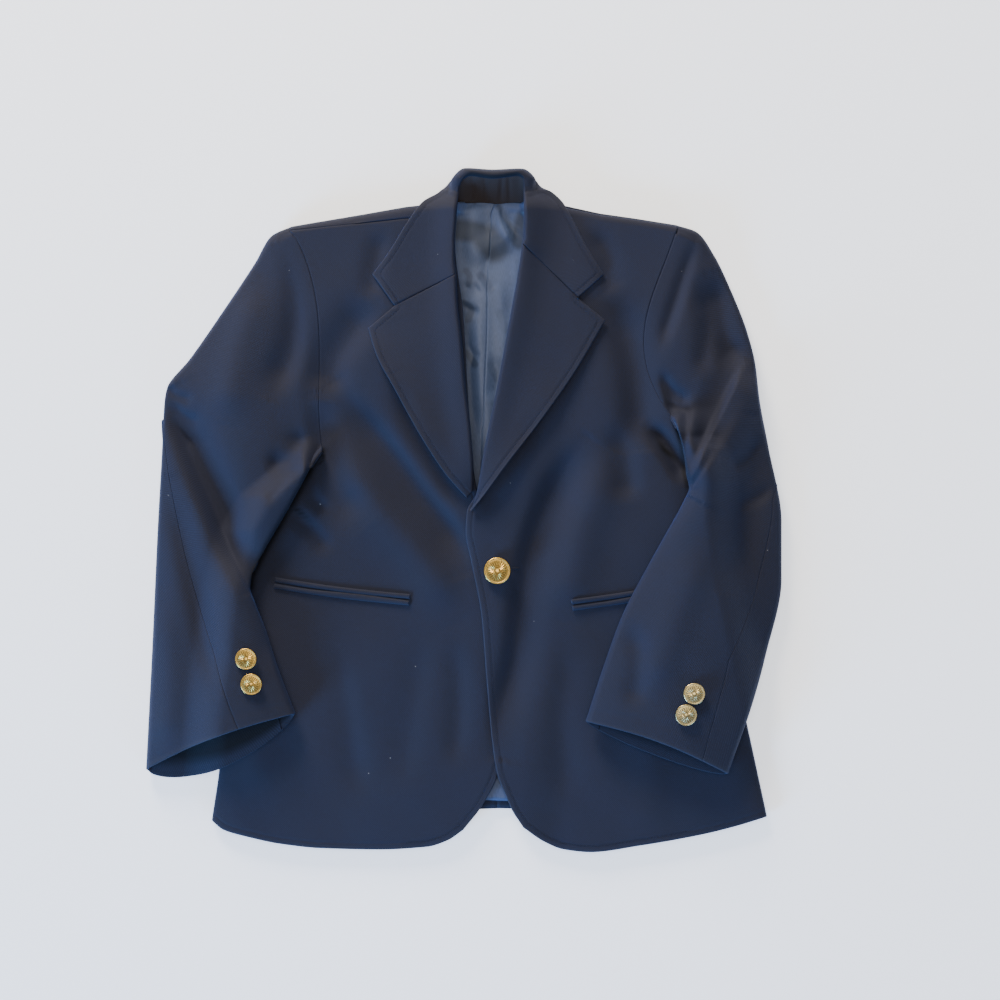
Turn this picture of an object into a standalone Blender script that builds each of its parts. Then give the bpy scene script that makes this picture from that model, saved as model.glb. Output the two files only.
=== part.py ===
"""Single-breasted blazer for a boy, laid flat on its back and buttoned, left front over right.

The frame is in metres with +Z up: the back panel rests on Z = 0, the hem is toward -Y and the
collar toward +Y. "right" and "left" are the wearer's, so the right sleeve is on the -X side.
Tables below are in millimetres. Each cloth piece is a grid of points worked out from its own
outline and the height of what it lies on, and is then given its wall on the inner side.
"""

import math

import bmesh
import bpy
import numpy as np

MM = 0.001

# Driving sizes
FRAME_CENTRE = (-0.5, -0.6)  # plan centre of the whole garment, in the coordinates of the tables
NECK_X = 22.0           # middle of the neck
BACK_SEAM_X = 25.0      # centre seam of the back
CLOTH = 1.5             # wall of the wool pieces
LINING = 1.0            # wall of the back lining
SEAM = 0.3              # gap between two pieces at a seam
LAY = 1.0               # clearance of a piece that lies loose on another
SLEEVE_CLEARANCE = 5.1  # of a sleeve over a front, past the ridges and the pocket that it crosses
HEM_HEIGHT = 6.0        # top of the front above the surface, at the hem
POCKET_HEIGHT = 10.0
CHEST_HEIGHT = 15.0
SHOULDER_HEIGHT = 13.0
SHOULDER_FOLD = 6.5     # how far the shoulder fold takes to come round to the front
SIDE_ROLL = 28.0        # width over which a front comes down to its side seam
OVERLAP_STEP = 2.9      # how much higher the left front lies where it overlaps the right
FRONT_BUTTON = 20.4     # 32-line button
CUFF_BUTTON = 16.2      # 26-line button
WELT_WALL = 1.2
BUTTON_GAP = 0.55       # under a button, and under a welt beside its wall
SHARP_BEND = 0.07       # share of a sleeve's width that each of its folds takes up

# Heights of the front along the length: (y, height of its top)
BODY_PROFILE = (
    (-262, HEM_HEIGHT),
    (-180, 8.0),
    (-60, POCKET_HEIGHT),
    (60, 14.0),
    (130, CHEST_HEIGHT),
    (205, SHOULDER_HEIGHT),
    (262, SHOULDER_HEIGHT),
)

# Outlines: (x, y) in the order named
RIGHT_HEM = ((-193, -237), (-184, -244), (-167, -249), (-138, -255), (-109, -258), (-65, -259),
             (-29, -257), (-13, -252), (-1, -244))
LEFT_HEM = ((45, -242), (61, -253), (76, -259), (96, -261), (134, -256), (179, -248), (204, -242),
            (231, -234))
RIGHT_EDGE = ((-1, -244), (13, -226), (25, -203), (33, -171), (37, -129), (38, -76), (34, -38),
              (23, -8), (9, 18), (4, 68), (-1, 151), (-7, 203), (-7, 224))
LEFT_EDGE = ((45, -242), (36, -228), (31, -216), (25, -201), (21, -175), (17, -130), (13, -80),
             (5, -38), (1, -17), (2, -1), (10, 14), (17, 52), (26, 97), (36, 154), (43, 193), (46, 224))
RIGHT_SIDE = ((-193, -237), (-187, -196), (-182, -137), (-172, -61), (-160, -16), (-144, 10),
              (-120, 30), (-109, 39))
LEFT_SIDE = ((231, -234), (228, -220), (215, -160), (196, -76), (184, -8), (182, 22), (172, 47),
             (159, 58))
BACK_HEM = ((-192, -236), (-87, -232), (25, -228), (134, -231), (229, -236))
SHOULDER_LINE = ((-146, 210), (-132, 216), (-79, 225), (-45, 231), (-18, 234), (22, 236), (71, 233),
                 (103, 226), (131, 222), (162, 217), (176, 212))
# How far the shoulder seam lies in front of the shoulder fold: (x, distance)
SEAM_FORWARD = ((-132, 3.0), (-7, 12.0), (47, 6.0), (162, 3.0))

# Sections of a sleeve from the armhole (0) to the cuff (1). The outer and inner points are its two
# folds, bow arches the section toward the shoulder, skew moves that arch along it, fold is the
# height of the folds, crown the rise between them, lip how far the lower layer runs on at the cuff.
SLEEVE_COLUMNS = ("station", "outer_x", "outer_y", "inner_x", "inner_y", "bow", "skew", "fold",
                  "crown", "lip")
RIGHT_SLEEVE = (
    (0.00, -132, 216, -108, 45, 10.1, -2.0, 12.0, 0.6, 0),
    (0.06, -147, 209, -116, 32, 8.0, -1.6, 11.0, 4.5, 0),
    (0.14, -160, 188, -124, 17, 5.0, -1.0, 9.0, 8.0, 0),
    (0.26, -184, 152, -137, -6, 2.0, 0.0, 8.0, 10.0, 0),
    (0.38, -209, 116, -151, -30, 0.0, 0.0, 8.0, 9.0, 0),
    (0.48, -227, 93, -161, -50, 0.0, 0.0, 8.0, 6.0, 0),
    (0.54, -229, 82, -162, -59, 0.0, 0.0, 8.0, 6.0, 0),
    (0.62, -231, 42, -158, -71, 0.0, 0.0, 8.0, 9.0, 0),
    (0.74, -234, -11, -151, -89, 0.0, 0.0, 8.0, 10.0, 0),
    (0.87, -238, -99, -141, -120, 2.0, 0.0, 8.0, 10.0, 6),
    (1.00, -243, -198, -128, -154, 5.0, 0.0, 8.0, 11.0, 26),
)
LEFT_SLEEVE = (
    (0.00, 162, 217, 159, 68, 23.1, 0.96, 12.0, 0.6, 0),
    (0.05, 177, 212, 162, 59, 19.0, 0.9, 11.0, 4.5, 0),
    (0.12, 190, 195, 165, 48, 13.0, 0.6, 9.0, 7.0, 0),
    (0.20, 204, 166, 167, 36, 7.0, 0.3, 8.0, 8.0, 0),
    (0.28, 216, 135, 168, 26, 3.0, 0.0, 8.0, 6.0, 0),
    (0.34, 222, 111, 170, 17, 0.0, 0.0, 8.0, 7.0, 0),
    (0.40, 225, 85, 165, 5, 0.0, 0.0, 8.0, 10.0, 0),
    (0.50, 232, 48, 153, -17, 0.0, 0.0, 8.0, 11.0, 0),
    (0.62, 242, -8, 137, -46, 0.0, 0.0, 8.0, 10.0, 0),
    (0.74, 242, -53, 120, -79, 0.0, 0.0, 8.0, 9.0, 0),
    (0.87, 229, -114, 105, -120, 2.0, 0.0, 8.0, 9.0, 4),
    (1.00, 200, -200, 92, -160, 5.0, 0.0, 8.0, 10.0, 12),
)
# Where the elbow seam runs: (station, share of the width from the outer fold; below 0 it is underneath)
RIGHT_ELBOW_SEAM = ((0.0, -0.35), (0.5, -0.14), (0.6, 0.08), (0.74, 0.27), (0.87, 0.5), (1.0, 0.64))
LEFT_ELBOW_SEAM = ((0.0, -0.35), (0.5, -0.15), (0.58, 0.09), (0.74, 0.19), (0.87, 0.26), (1.0, 0.22))
NECK_ROW = 0.35         # spacing of the back's last rows behind the neck, where there is no fold
ARMHOLE_POINTS = (0.0, 0.1, 0.2, 0.3, 0.4, 0.5, 0.6, 0.7, 0.8, 0.9, 1.0)
FOREARM_SEAM = 0.12     # share of the width that the forearm seam lies in from the inner fold, underneath

# Broad folds of the fronts and the sleeves: depth, half width, then the line it follows
BODY_FOLDS = (
    (2.0, 15, (-72, 154), (-102, 115)),
    (2.6, 13, (-83, 84), (-67, 60), (-37, 17), (-6, -25), (4, -44)),
    (3.0, 15, (92, 52), (64, 10), (53, -29), (45, -68), (43, -106), (33, -145)),
    (2.0, 14, (111, 150), (127, 134), (128, 95)),
    (-2.0, 34, (-50, -40), (-38, -150)),
    (-2.0, 30, (90, -40), (96, -150)),
)
RIGHT_SLEEVE_FOLDS = (
    (3.0, 13, (-134, 200), (-131, 145), (-147, 87)),
    (3.5, 13, (-222, 84), (-190, 20), (-168, -42)),
)
LEFT_SLEEVE_FOLDS = (
    (3.0, 12, (174, 205), (162, 172), (150, 130)),
    (4.0, 13, (194, 160), (204, 118), (192, 72), (178, 36)),
    (-5.0, 13, (216, 98), (203, 62), (186, 18)),
)

# Sections of the lapels from the break to the gorge seam: roll and outer points, and how far the
# outer edge stands off the front
LAPEL_COLUMNS = ("station", "roll_x", "roll_y", "edge_x", "edge_y", "lift")
RIGHT_LAPEL = (
    (0.00, 7, 15, 2, 9, 1.0),
    (0.10, 7, 30, -14, 27, 5.0),
    (0.25, 5, 60, -33, 56, 6.0),
    (0.45, 1, 95, -53, 92, 3.5),
    (0.65, -2, 130, -66, 116, 1.0),
    (0.85, -5, 158, -73, 138, 0.0),
    (1.00, -6, 178, -53, 154, 0.0),
)
LEFT_LAPEL = (
    (0.00, 6, 2, 5, -1, 1.0),
    (0.10, 10, 16, 14, 10, 4.0),
    (0.25, 15, 45, 34, 37, 6.0),
    (0.45, 23, 84, 58, 68, 3.5),
    (0.65, 32, 131, 84, 105, 1.0),
    (0.85, 40, 175, 107, 144, 0.0),
    (1.00, 44, 201, 86, 160, 0.0),
)
# Sections of the collar from the right notch round the neck to the left notch: roll and outer
# points, wrap, which is 0 on a front and 1 where the collar turns down behind the neck, and how far
# the turned part stands out past the roll
COLLAR_COLUMNS = ("station", "roll_x", "roll_y", "edge_x", "edge_y", "wrap", "out_x", "out_y")
COLLAR = (
    (0.00, -6, 179, -53, 155, 0.0, 0, 0.0),
    (0.07, -7, 189, -70, 179, 0.0, 0, 0.0),
    (0.14, -7, 203, -58, 195, 0.0, 0, 0.0),
    (0.23, -6, 219, -41, 222, 0.0, 0, 0.0),
    (0.29, -5, 233, -34, 236, 0.0, 0, 0.0),
    (0.345, -4, 243, -24, 243, 0.15, -8, 0.0),
    (0.40, -1, 252, -15, 245, 0.7, -10, -0.5),
    (0.44, 5, 256, -3, 241, 1.0, -5, 4.0),
    (0.50, 22, 254, 22, 239, 1.0, 0, 5.0),
    (0.56, 40, 256, 47, 241, 1.0, 5, 3.5),
    (0.60, 45, 252, 59, 245, 0.7, 10, -0.5),
    (0.655, 45, 243, 65, 243, 0.15, 8, 0.0),
    (0.71, 45, 233, 74, 235, 0.0, 0, 0.0),
    (0.77, 45, 221, 80, 225, 0.0, 0, 0.0),
    (0.86, 45, 213, 96, 195, 0.0, 0, 0.0),
    (0.93, 45, 206, 106, 179, 0.0, 0, 0.0),
    (1.00, 44, 202, 86, 161, 0.0, 0, 0.0),
)
COLLAR_RISE = 19.0      # height of the collar's fold behind the neck
COLLAR_TURN = 0.42      # share of the collar's width that the turn behind the neck takes
TURN_DRIFT = 0.12       # share of the way to the edge that the collar goes in that turn
COLLAR_DROP = 6.0       # how far its edge comes down past the shoulder fold
ROLL_LIFT = 5.0         # how far a roll line stands off the front
ROLL_WIDTH = 14.0       # how far from a roll line that height dies away
STAND_FOOT = ((-4, 236), (13, 235), (25, 234), (38, 235), (47, 236))
STAND_TOP = ((1, 250), (6, 252), (22, 251), (39, 252), (44, 250))

LINING_FOOT = -221.5    # hem of the lining
LINING_REACH = 105.0    # from its middle to its outer edge
LINING_RIPPLE = 27.0    # spacing of the soft troughs that show in the neck opening

# Pocket welts: their two ends and depth from the top of the upper welt to the foot of the lower
RIGHT_POCKET = ((-144, -51), (-41, -64))
LEFT_POCKET = ((81, -68), (184, -51))
POCKET_DEPTH = 8.6
POCKET_SLIT = 1.2
POCKET_SAG = 1.2

FRONT_BUTTON_AT = (25, -46)
RIGHT_CUFF_BUTTONS = ((-164, -112), (-160, -131))
LEFT_CUFF_BUTTONS = ((173, -138), (167, -154))
# Outline that a button is turned from: radius and height, as shares of the button's radius
BUTTON_OUTLINE = ((0.0, 0.0), (0.22, 0.0), (0.22, 0.12), (0.86, 0.16), (1.0, 0.24), (1.0, 0.32),
                  (0.93, 0.38), (0.86, 0.36), (0.62, 0.43), (0.34, 0.48), (0.0, 0.5))
BUTTON_SIDES = 18

# Where the rows and columns of the grids lie, as shares of a piece; closer at edges and folds
FRONT_ACROSS = (0, 0.02, 0.05, 0.1, 0.17, 0.25, 0.33, 0.42, 0.51, 0.6, 0.69, 0.78, 0.86, 0.93, 1)
FRONT_ALONG = (0, 0.04, 0.1, 0.17, 0.25, 0.33, 0.41, 0.48, 0.54, 0.59, 0.63, 0.67, 0.71, 0.75,
               0.79, 0.83, 0.87, 0.91, 0.94, 0.965, 0.985, 1)
BACK_ALONG = (0, 0.2, 0.4, 0.55, 0.63, 0.68, 0.73, 0.78, 0.83, 0.88, 0.93, 0.97, 1)
BACK_TURN_ROWS = 6
SLEEVE_ALONG = (0, 0.04, 0.09, 0.15, 0.21, 0.27, 0.33, 0.38, 0.43, 0.48, 0.53, 0.59, 0.66, 0.74,
                0.83, 0.92, 1)
TOP_SLEEVE_ROUND = (-0.35, -SHARP_BEND, -SHARP_BEND / 2, 0, SHARP_BEND / 2, SHARP_BEND, 0.22, 0.36,
                    0.5, 0.64, 0.79, 1 - SHARP_BEND, 1 - SHARP_BEND / 2, 1, 1 + SHARP_BEND / 2,
                    1 + SHARP_BEND, 1 + FOREARM_SEAM)
UNDER_SLEEVE_ROUND = (-1 + FOREARM_SEAM, -0.72, -0.56, -0.4, -0.22, -SHARP_BEND, -SHARP_BEND / 2, 0,
                      SHARP_BEND / 2, SHARP_BEND, 0.2, 0.34, 0.5)
ROUND_SPACING = 0.012   # least spacing of those columns beside a seam

# Colours, roughness and metallic value
WOOL = ((0.020, 0.027, 0.058), 0.85, 0.0)
SATIN = ((0.060, 0.085, 0.135), 0.35, 0.0)
GILT = ((0.720, 0.540, 0.220), 0.30, 1.0)


def smooth(edge_low, edge_high, value):
    """0 below the first edge, 1 above the second, and an even curve between them."""
    t = min(1.0, max(0.0, (value - edge_low) / (edge_high - edge_low)))
    return t * t * (3 - 2 * t)


def curve_point(points, share):
    """The point at this share of the length of a rounded line through the points."""
    pts = np.array(points, float)
    along = np.concatenate([[0], np.cumsum(np.hypot(*np.diff(pts, axis=0).T))])
    at = share * along[-1]
    return np.array([hermite(along, pts[:, k], at) for k in range(pts.shape[1])])


def hermite(knots, values, at):
    """A smooth curve through the values, with no overshoot at a corner."""
    at = min(max(at, knots[0]), knots[-1])
    i = min(max(int(np.searchsorted(knots, at, side="right")) - 1, 0), len(knots) - 2)
    step = knots[i + 1] - knots[i]
    slopes = np.diff(values) / np.diff(knots)

    def tangent(k):
        if k == 0:
            return slopes[0]
        if k == len(knots) - 1:
            return slopes[-1]
        before, after = slopes[k - 1], slopes[k]
        if before * after <= 0:
            return 0.0
        return 2 * before * after / (before + after)

    t = (at - knots[i]) / step
    a, b = tangent(i) * step, tangent(i + 1) * step
    return (
        (2 * t**3 - 3 * t**2 + 1) * values[i]
        + (t**3 - 2 * t**2 + t) * a
        + (3 * t**2 - 2 * t**3) * values[i + 1]
        + (t**3 - t**2) * b
    )


def row_at(table, columns, station):
    """The section of a table at a station, as a dictionary of its named columns. Cut edges keep
    their corners, and the other columns run smoothly."""
    rows = np.array(table, float)
    found = {}
    for k, name in enumerate(columns):
        if name.startswith("edge"):
            found[name] = float(np.interp(station, rows[:, 0], rows[:, k]))
        else:
            found[name] = hermite(rows[:, 0], rows[:, k], station)
    return found


def distance_to(line, x, y):
    """How far a point is from a line of points."""
    best = math.inf
    for (ax, ay), (bx, by) in zip(line, line[1:]):
        dx, dy = bx - ax, by - ay
        t = min(1.0, max(0.0, ((x - ax) * dx + (y - ay) * dy) / (dx * dx + dy * dy)))
        best = min(best, math.hypot(x - ax - t * dx, y - ay - t * dy))
    return best


def folds(table, x, y):
    """How far the folds of a table lower the cloth at a point."""
    total = 0.0
    for depth, half_width, *line in table:
        total += depth * math.exp(-((distance_to(line, x, y) / half_width) ** 2))
    return total


def side_x(y, side):
    """X of a side seam; above the armpit it stays where it was."""
    line = RIGHT_SIDE if side < 0 else LEFT_SIDE
    ys = [p[1] for p in line]
    xs = [p[0] for p in line]
    return float(np.interp(y, ys, xs))


def shoulder_y(x):
    """Y of the shoulder fold, and of the back's neck edge between the shoulders."""
    return float(np.interp(x, [p[0] for p in SHOULDER_LINE], [p[1] for p in SHOULDER_LINE]))


def seam_forward(x):
    """How far in front of the shoulder fold the shoulder seam lies."""
    return float(np.interp(x, [p[0] for p in SEAM_FORWARD], [p[1] for p in SEAM_FORWARD]))


def body_height(y):
    """Height of a front's upper side along the length, before its folds."""
    return float(hermite([p[0] for p in BODY_PROFILE], [p[1] for p in BODY_PROFILE], y))


def front_top(x, y):
    """Height of the right front's upper side, which everything on the body is laid from."""
    full = body_height(y) - folds(BODY_FOLDS, x, y)
    foot = 2 * (CLOTH + SEAM)
    inside = min(x - side_x(y, -1), side_x(y, 1) - x)
    below_armpit = 1 - smooth(10, 50, y)
    if inside < SIDE_ROLL:
        round_off = math.sqrt(max(0.0, 1 - (1 - max(inside, 0.0) / SIDE_ROLL) ** 2))
        full += (foot + (full - foot) * round_off - full) * below_armpit
    from_fold = shoulder_y(x) - y
    if from_fold < SHOULDER_FOLD:
        turn = 1 - max(from_fold, 0.0) / SHOULDER_FOLD
        full = full / 2 * (1 + math.sqrt(1 - turn * turn))
    return full


def left_front_top(x, y):
    """The left front lies a wall higher near the closing, where it covers the right one."""
    over = 1 - smooth(44, 78, x)
    return front_top(x, y) + OVERLAP_STEP * over


def body_rest(x, y):
    """Height that a sleeve's lower layer rests at: on the body, or on the surface beside it."""
    inside = min(x - side_x(y, -1), side_x(y, 1) - x)
    armpit = RIGHT_SLEEVE[0][4] if x < 0 else LEFT_SLEEVE[0][4]
    on_body = smooth(-30, 4, inside) * (1 - smooth(armpit - 12, armpit + 12, y))
    return (body_height(y) + SLEEVE_CLEARANCE) * on_body


def material(name, look):
    colour, roughness, metallic = look
    made = bpy.data.materials.new(name)
    made.use_nodes = True
    shader = made.node_tree.nodes["Principled BSDF"]
    shader.inputs["Base Color"].default_value = (*colour, 1)
    shader.inputs["Roughness"].default_value = roughness
    shader.inputs["Metallic"].default_value = metallic
    return made


def cloth(name, across, along, place, wall, look, flip=False):
    """A grid of points placed by a function of two shares, given its wall on the inner side."""
    mesh = bmesh.new()
    bmesh.ops.create_grid(mesh, x_segments=across, y_segments=along, size=0.5)
    for vert in mesh.verts:
        x, y, z = place(vert.co.x + 0.5, vert.co.y + 0.5)
        vert.co = ((x - FRAME_CENTRE[0]) * MM, (y - FRAME_CENTRE[1]) * MM, z * MM)
    if flip:
        bmesh.ops.reverse_faces(mesh, faces=mesh.faces)
    data = bpy.data.meshes.new(name)
    mesh.to_mesh(data)
    mesh.free()
    data.shade_smooth()
    piece = bpy.data.objects.new(name, data)
    bpy.context.scene.collection.objects.link(piece)
    skin = piece.modifiers.new("Wall", "SOLIDIFY")
    skin.thickness = wall * MM
    skin.offset = -1
    data.materials.append(material(name, look))
    return piece


def patch(bottom, top, left, right, u, v):
    """The point of a surface that fills four edges. Each edge is a function of its share."""
    sides = (1 - u) * left(v) + u * right(v)
    ends = (1 - v) * bottom(u) + v * top(u)
    corners = (
        (1 - u) * (1 - v) * bottom(0)
        + u * (1 - v) * bottom(1)
        + (1 - u) * v * top(0)
        + u * v * top(1)
    )
    return sides + ends - corners


def spaced(stops, share):
    """Spaces the rows of a grid unevenly: stops are the places of evenly numbered rows."""
    return float(np.interp(share, np.linspace(0, 1, len(stops)), stops))


def sleeve_plan(table, side, station, share):
    """Plan point of a sleeve section, share 0 at the outer fold and 1 at the inner one."""
    row = row_at(table, SLEEVE_COLUMNS, station)
    outer = np.array([row["outer_x"], row["outer_y"]])
    inner = np.array([row["inner_x"], row["inner_y"]])
    chord = inner - outer
    width = float(np.hypot(*chord))
    normal = -side * np.array([-chord[1], chord[0]]) / width
    bow = row["bow"] * math.sin(math.pi * share) * (1 + row["skew"] * (share - 0.5))
    return outer + chord * share + normal * bow, width, row


def armhole(side, share, gap):
    """The armhole edge from the armpit (0) to the shoulder (1), held off the sleeve by a gap."""
    table = RIGHT_SLEEVE if side < 0 else LEFT_SLEEVE
    point, _, _ = sleeve_plan(table, side, 0.0, 1 - share)
    return point - np.array([side * gap * (1.55 + 0.8 * share**4), 0.0])


def side_edge(side, gap=3 * SEAM):
    """The edge of a front or back from the hem to the shoulder: side seam, then armhole."""
    line = list(RIGHT_SIDE if side < 0 else LEFT_SIDE)
    line += [tuple(armhole(side, t, gap)) for t in ARMHOLE_POINTS]
    return line


def front(side):
    """A front, between its hem, closing edge, shoulder seam, armhole and side seam."""
    hem = RIGHT_HEM if side < 0 else LEFT_HEM[::-1]
    closing = list(RIGHT_EDGE if side < 0 else LEFT_EDGE)
    outer = side_edge(side)
    for line in (outer, closing):
        x = line[-1][0]
        line[-1] = (x, shoulder_y(x) - seam_forward(x) - 3 * SEAM)
    top = front_top if side < 0 else left_front_top

    def upper(u):
        x = outer[-1][0] + u * (closing[-1][0] - outer[-1][0])
        return np.array([x, shoulder_y(x) - seam_forward(x) - 3 * SEAM])

    def place(u, v):
        x, y = patch(
            lambda t: curve_point(hem, t),
            upper,
            lambda t: curve_point(outer, t),
            lambda t: curve_point(closing, t),
            spaced(FRONT_ACROSS, u),
            spaced(FRONT_ALONG, v),
        )
        return x, y, top(x, y)

    name = "right_front" if side < 0 else "left_front"
    cloth(name, len(FRONT_ACROSS) - 1, len(FRONT_ALONG) - 1, place, CLOTH, WOOL, flip=side > 0)


def back(side):
    """A back half: flat on the surface, then round the shoulder fold to the seam in front of it."""
    middle_x = BACK_SEAM_X + side * SEAM / 2
    hem_middle_y = BACK_HEM[len(BACK_HEM) // 2][1]
    hem_half = [p for p in BACK_HEM if (p[0] - BACK_SEAM_X) * side > 0]
    hem_half = sorted(hem_half, key=lambda p: -p[0] * side) + [(middle_x, hem_middle_y)]
    outer = side_edge(side, 5 * SEAM)
    flat_rows = len(BACK_ALONG) - 1
    rows = flat_rows + BACK_TURN_ROWS

    def fold_size(x):
        """Height of the shoulder fold, which runs out behind the neck."""
        return max(0.4, SHOULDER_HEIGHT * (1 - smooth(0, 20, 30 - abs(x - NECK_X))))

    def fold_foot(x):
        """Where the back leaves the surface to go round the shoulder fold."""
        return np.array([x, shoulder_y(x) - min(SHOULDER_FOLD, fold_size(x) / 2)])

    tip = outer[-1][0]
    outer[-1] = tuple(fold_foot(tip))
    middle = [(middle_x, hem_middle_y), tuple(fold_foot(middle_x))]

    def place(u, v):
        step = round(v * rows)
        x_top = tip + u * (middle_x - tip)
        fold = fold_size(x_top)
        reach = min(SHOULDER_FOLD, fold / 2)
        if step <= flat_rows:
            x, y = patch(
                lambda t: curve_point(hem_half, t),
                lambda t: fold_foot(tip + t * (middle_x - tip)),
                lambda t: curve_point(outer, t),
                lambda t: curve_point(middle, t),
                u,
                BACK_ALONG[step],
            )
            return x, y, 0.0
        forward = seam_forward(x_top)
        end = math.pi if forward >= reach else math.pi - math.acos(forward / reach)
        end *= smooth(2, 8, fold)
        has_strip = forward > reach and fold > 8
        arc_rows = BACK_TURN_ROWS - 1 if has_strip else BACK_TURN_ROWS
        arc_step = min(step - flat_rows, arc_rows)
        angle = end * arc_step / arc_rows
        y = shoulder_y(x_top) - reach + reach * math.sin(angle)
        y += NECK_ROW * arc_step * (1 - smooth(2, 8, fold))
        z = fold / 2 * (1 - math.cos(angle))
        if step == rows and has_strip:
            y = shoulder_y(x_top) - forward
            z = front_top(x_top, y)
        return x_top, y, z

    name = "right_back" if side < 0 else "left_back"
    cloth(name, 12, rows, place, CLOTH, WOOL, flip=side < 0)


def lining(side):
    """A half of the back lining, with the soft troughs that show in the neck opening."""
    outer_x = NECK_X + side * LINING_REACH
    name = "right_lining" if side < 0 else "left_lining"

    def place(u, v):
        x = NECK_X + side * SEAM / 2 + u * (outer_x - NECK_X)
        y_foot = LINING_FOOT - 4 * u
        y_head = shoulder_y(x) - 2.5 - (SHOULDER_FOLD + 2.5) * smooth(6, 30, abs(x - NECK_X))
        y = y_foot + (y_head - y_foot) * v
        shown = math.exp(-(((x - NECK_X) / 34) ** 2)) * smooth(0, 60, y) * (1 - smooth(212, 230, y))
        ripple = 1.4 + 1.2 * math.cos(2 * math.pi * (x - NECK_X) / LINING_RIPPLE + y / 60)
        return x, y, CLOTH + SEAM + LINING + 0.2 + ripple * shown

    cloth(name, 8, 18, place, LINING, SATIN, flip=side < 0)


def lapel(side):
    """A lapel facing, from its roll line to its outer edge, lying on its front."""
    table = RIGHT_LAPEL if side < 0 else LEFT_LAPEL
    top = front_top if side < 0 else left_front_top

    def place(u, v):
        row = row_at(table, LAPEL_COLUMNS, v)
        x = row["roll_x"] + u * (row["edge_x"] - row["roll_x"])
        y = row["roll_y"] + u * (row["edge_y"] - row["roll_y"])
        roll = ROLL_LIFT * math.exp(-((math.dist((row["roll_x"], row["roll_y"]), (x, y)) / ROLL_WIDTH) ** 2))
        return x, y, top(x, y) + CLOTH + LAY + roll * smooth(-0.1, 0.2, v) + row["lift"] * u

    name = "right_lapel" if side < 0 else "left_lapel"
    cloth(name, 6, 14, place, CLOTH, WOOL, flip=side < 0)


def collar():
    """The collar's fall: on the fronts at both ends, and round under the back between them."""

    def place(u, v):
        row = row_at(COLLAR, COLLAR_COLUMNS, v)
        roll = np.array([row["roll_x"], row["roll_y"]])
        edge = np.array([row["edge_x"], row["edge_y"]])
        wrap = row["wrap"]
        x, y = roll + (edge - roll) * u
        side_top = front_top if x < NECK_X else left_front_top
        fold_y = shoulder_y(x) - SHOULDER_FOLD
        on_front = side_top(x, min(y, fold_y)) + CLOTH + LAY
        on_front -= COLLAR_DROP * smooth(0, 16, y - fold_y)
        on_front += ROLL_LIFT * math.exp(-((math.dist(roll, (x, y)) / ROLL_WIDTH) ** 2))
        turned = min(u / COLLAR_TURN, 1.0)
        under = max(0.0, (u - COLLAR_TURN) / (1 - COLLAR_TURN))
        bulge = math.sin(turned * math.pi)
        if turned > 0.5:
            held = min(1.0, (1 - wrap) / 0.3)  # at the sides of the neck it doesn't come back in
            bulge += (1 - bulge) * held
        out = np.array([row["out_x"], row["out_y"]]) * bulge * (1 - under)
        drift = TURN_DRIFT * turned + (1 - TURN_DRIFT) * under
        behind = np.array([
            roll[0] + (edge[0] - roll[0]) * drift + out[0],
            roll[1] + (edge[1] - roll[1]) * under + out[1],
            COLLAR_RISE / 2 * (1 + math.cos(turned * math.pi)),
        ])
        return (1 - wrap) * np.array([x, y, on_front]) + wrap * behind

    cloth("collar", 8, 28, place, CLOTH, WOOL, flip=True)


def collar_stand():
    """The stand behind the neck, from the lining up to the collar's fold."""

    def place(u, v):
        foot = curve_point(STAND_FOOT, u)
        head = curve_point(STAND_TOP, u)
        x, y = foot + (head - foot) * v
        low = 2 * CLOTH + LINING + 3 * SEAM
        return x, y, low + (COLLAR_RISE - CLOTH - LAY - low) * v ** 1.3

    cloth("collar_stand", 12, 3, place, CLOTH, WOOL)


def sleeve_point(table, side, fold_table, station, c):
    """A point of a sleeve. c runs round it: 0 at the outer fold, 0..1 above, 1..2 and -1..0 below."""
    lower = c < 0 or c > 1
    share = abs(c) if c <= 1 else 2 - c
    bend = SHARP_BEND
    if share < bend:
        angle = share / bend * math.pi / 2
        fold_share, rise = 1 - math.cos(angle), math.sin(angle)
        at = "outer"
    elif share > 1 - bend:
        angle = (1 - share) / bend * math.pi / 2
        fold_share, rise = 1 - math.cos(angle), math.sin(angle)
        at = "inner"
    else:
        fold_share, rise, at = 1.0, 1.0, "flat"
    _, width, row = sleeve_plan(table, side, station, 0.5)
    radius = row["fold"] / 2 / width
    if at == "outer":
        across = radius * fold_share
    elif at == "inner":
        across = 1 - radius * fold_share
    else:
        across = radius + (1 - 2 * radius) * (share - bend) / (1 - 2 * bend)
    (x, y), _, _ = sleeve_plan(table, side, station, across)
    rest = body_rest(x, y)
    if lower:
        lip = row["lip"] * rise * math.sin(math.pi * across) ** 0.7
        return x, y - lip, rest + row["fold"] / 2 * (1 - rise)
    crown = row["crown"] * math.sin(math.pi * across) ** 0.8
    crown -= folds(fold_table, x, y) * smooth(0.0, 0.06, station)
    own = rest + row["fold"] / 2 * (1 + rise) + crown * rise
    at_armhole = 1 - smooth(0.0, 0.1, station)
    armhole_top = front_top(x, y) if y < shoulder_y(x) - SHOULDER_FOLD else own
    return x, y, own + (armhole_top - own) * at_armhole * rise


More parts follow.
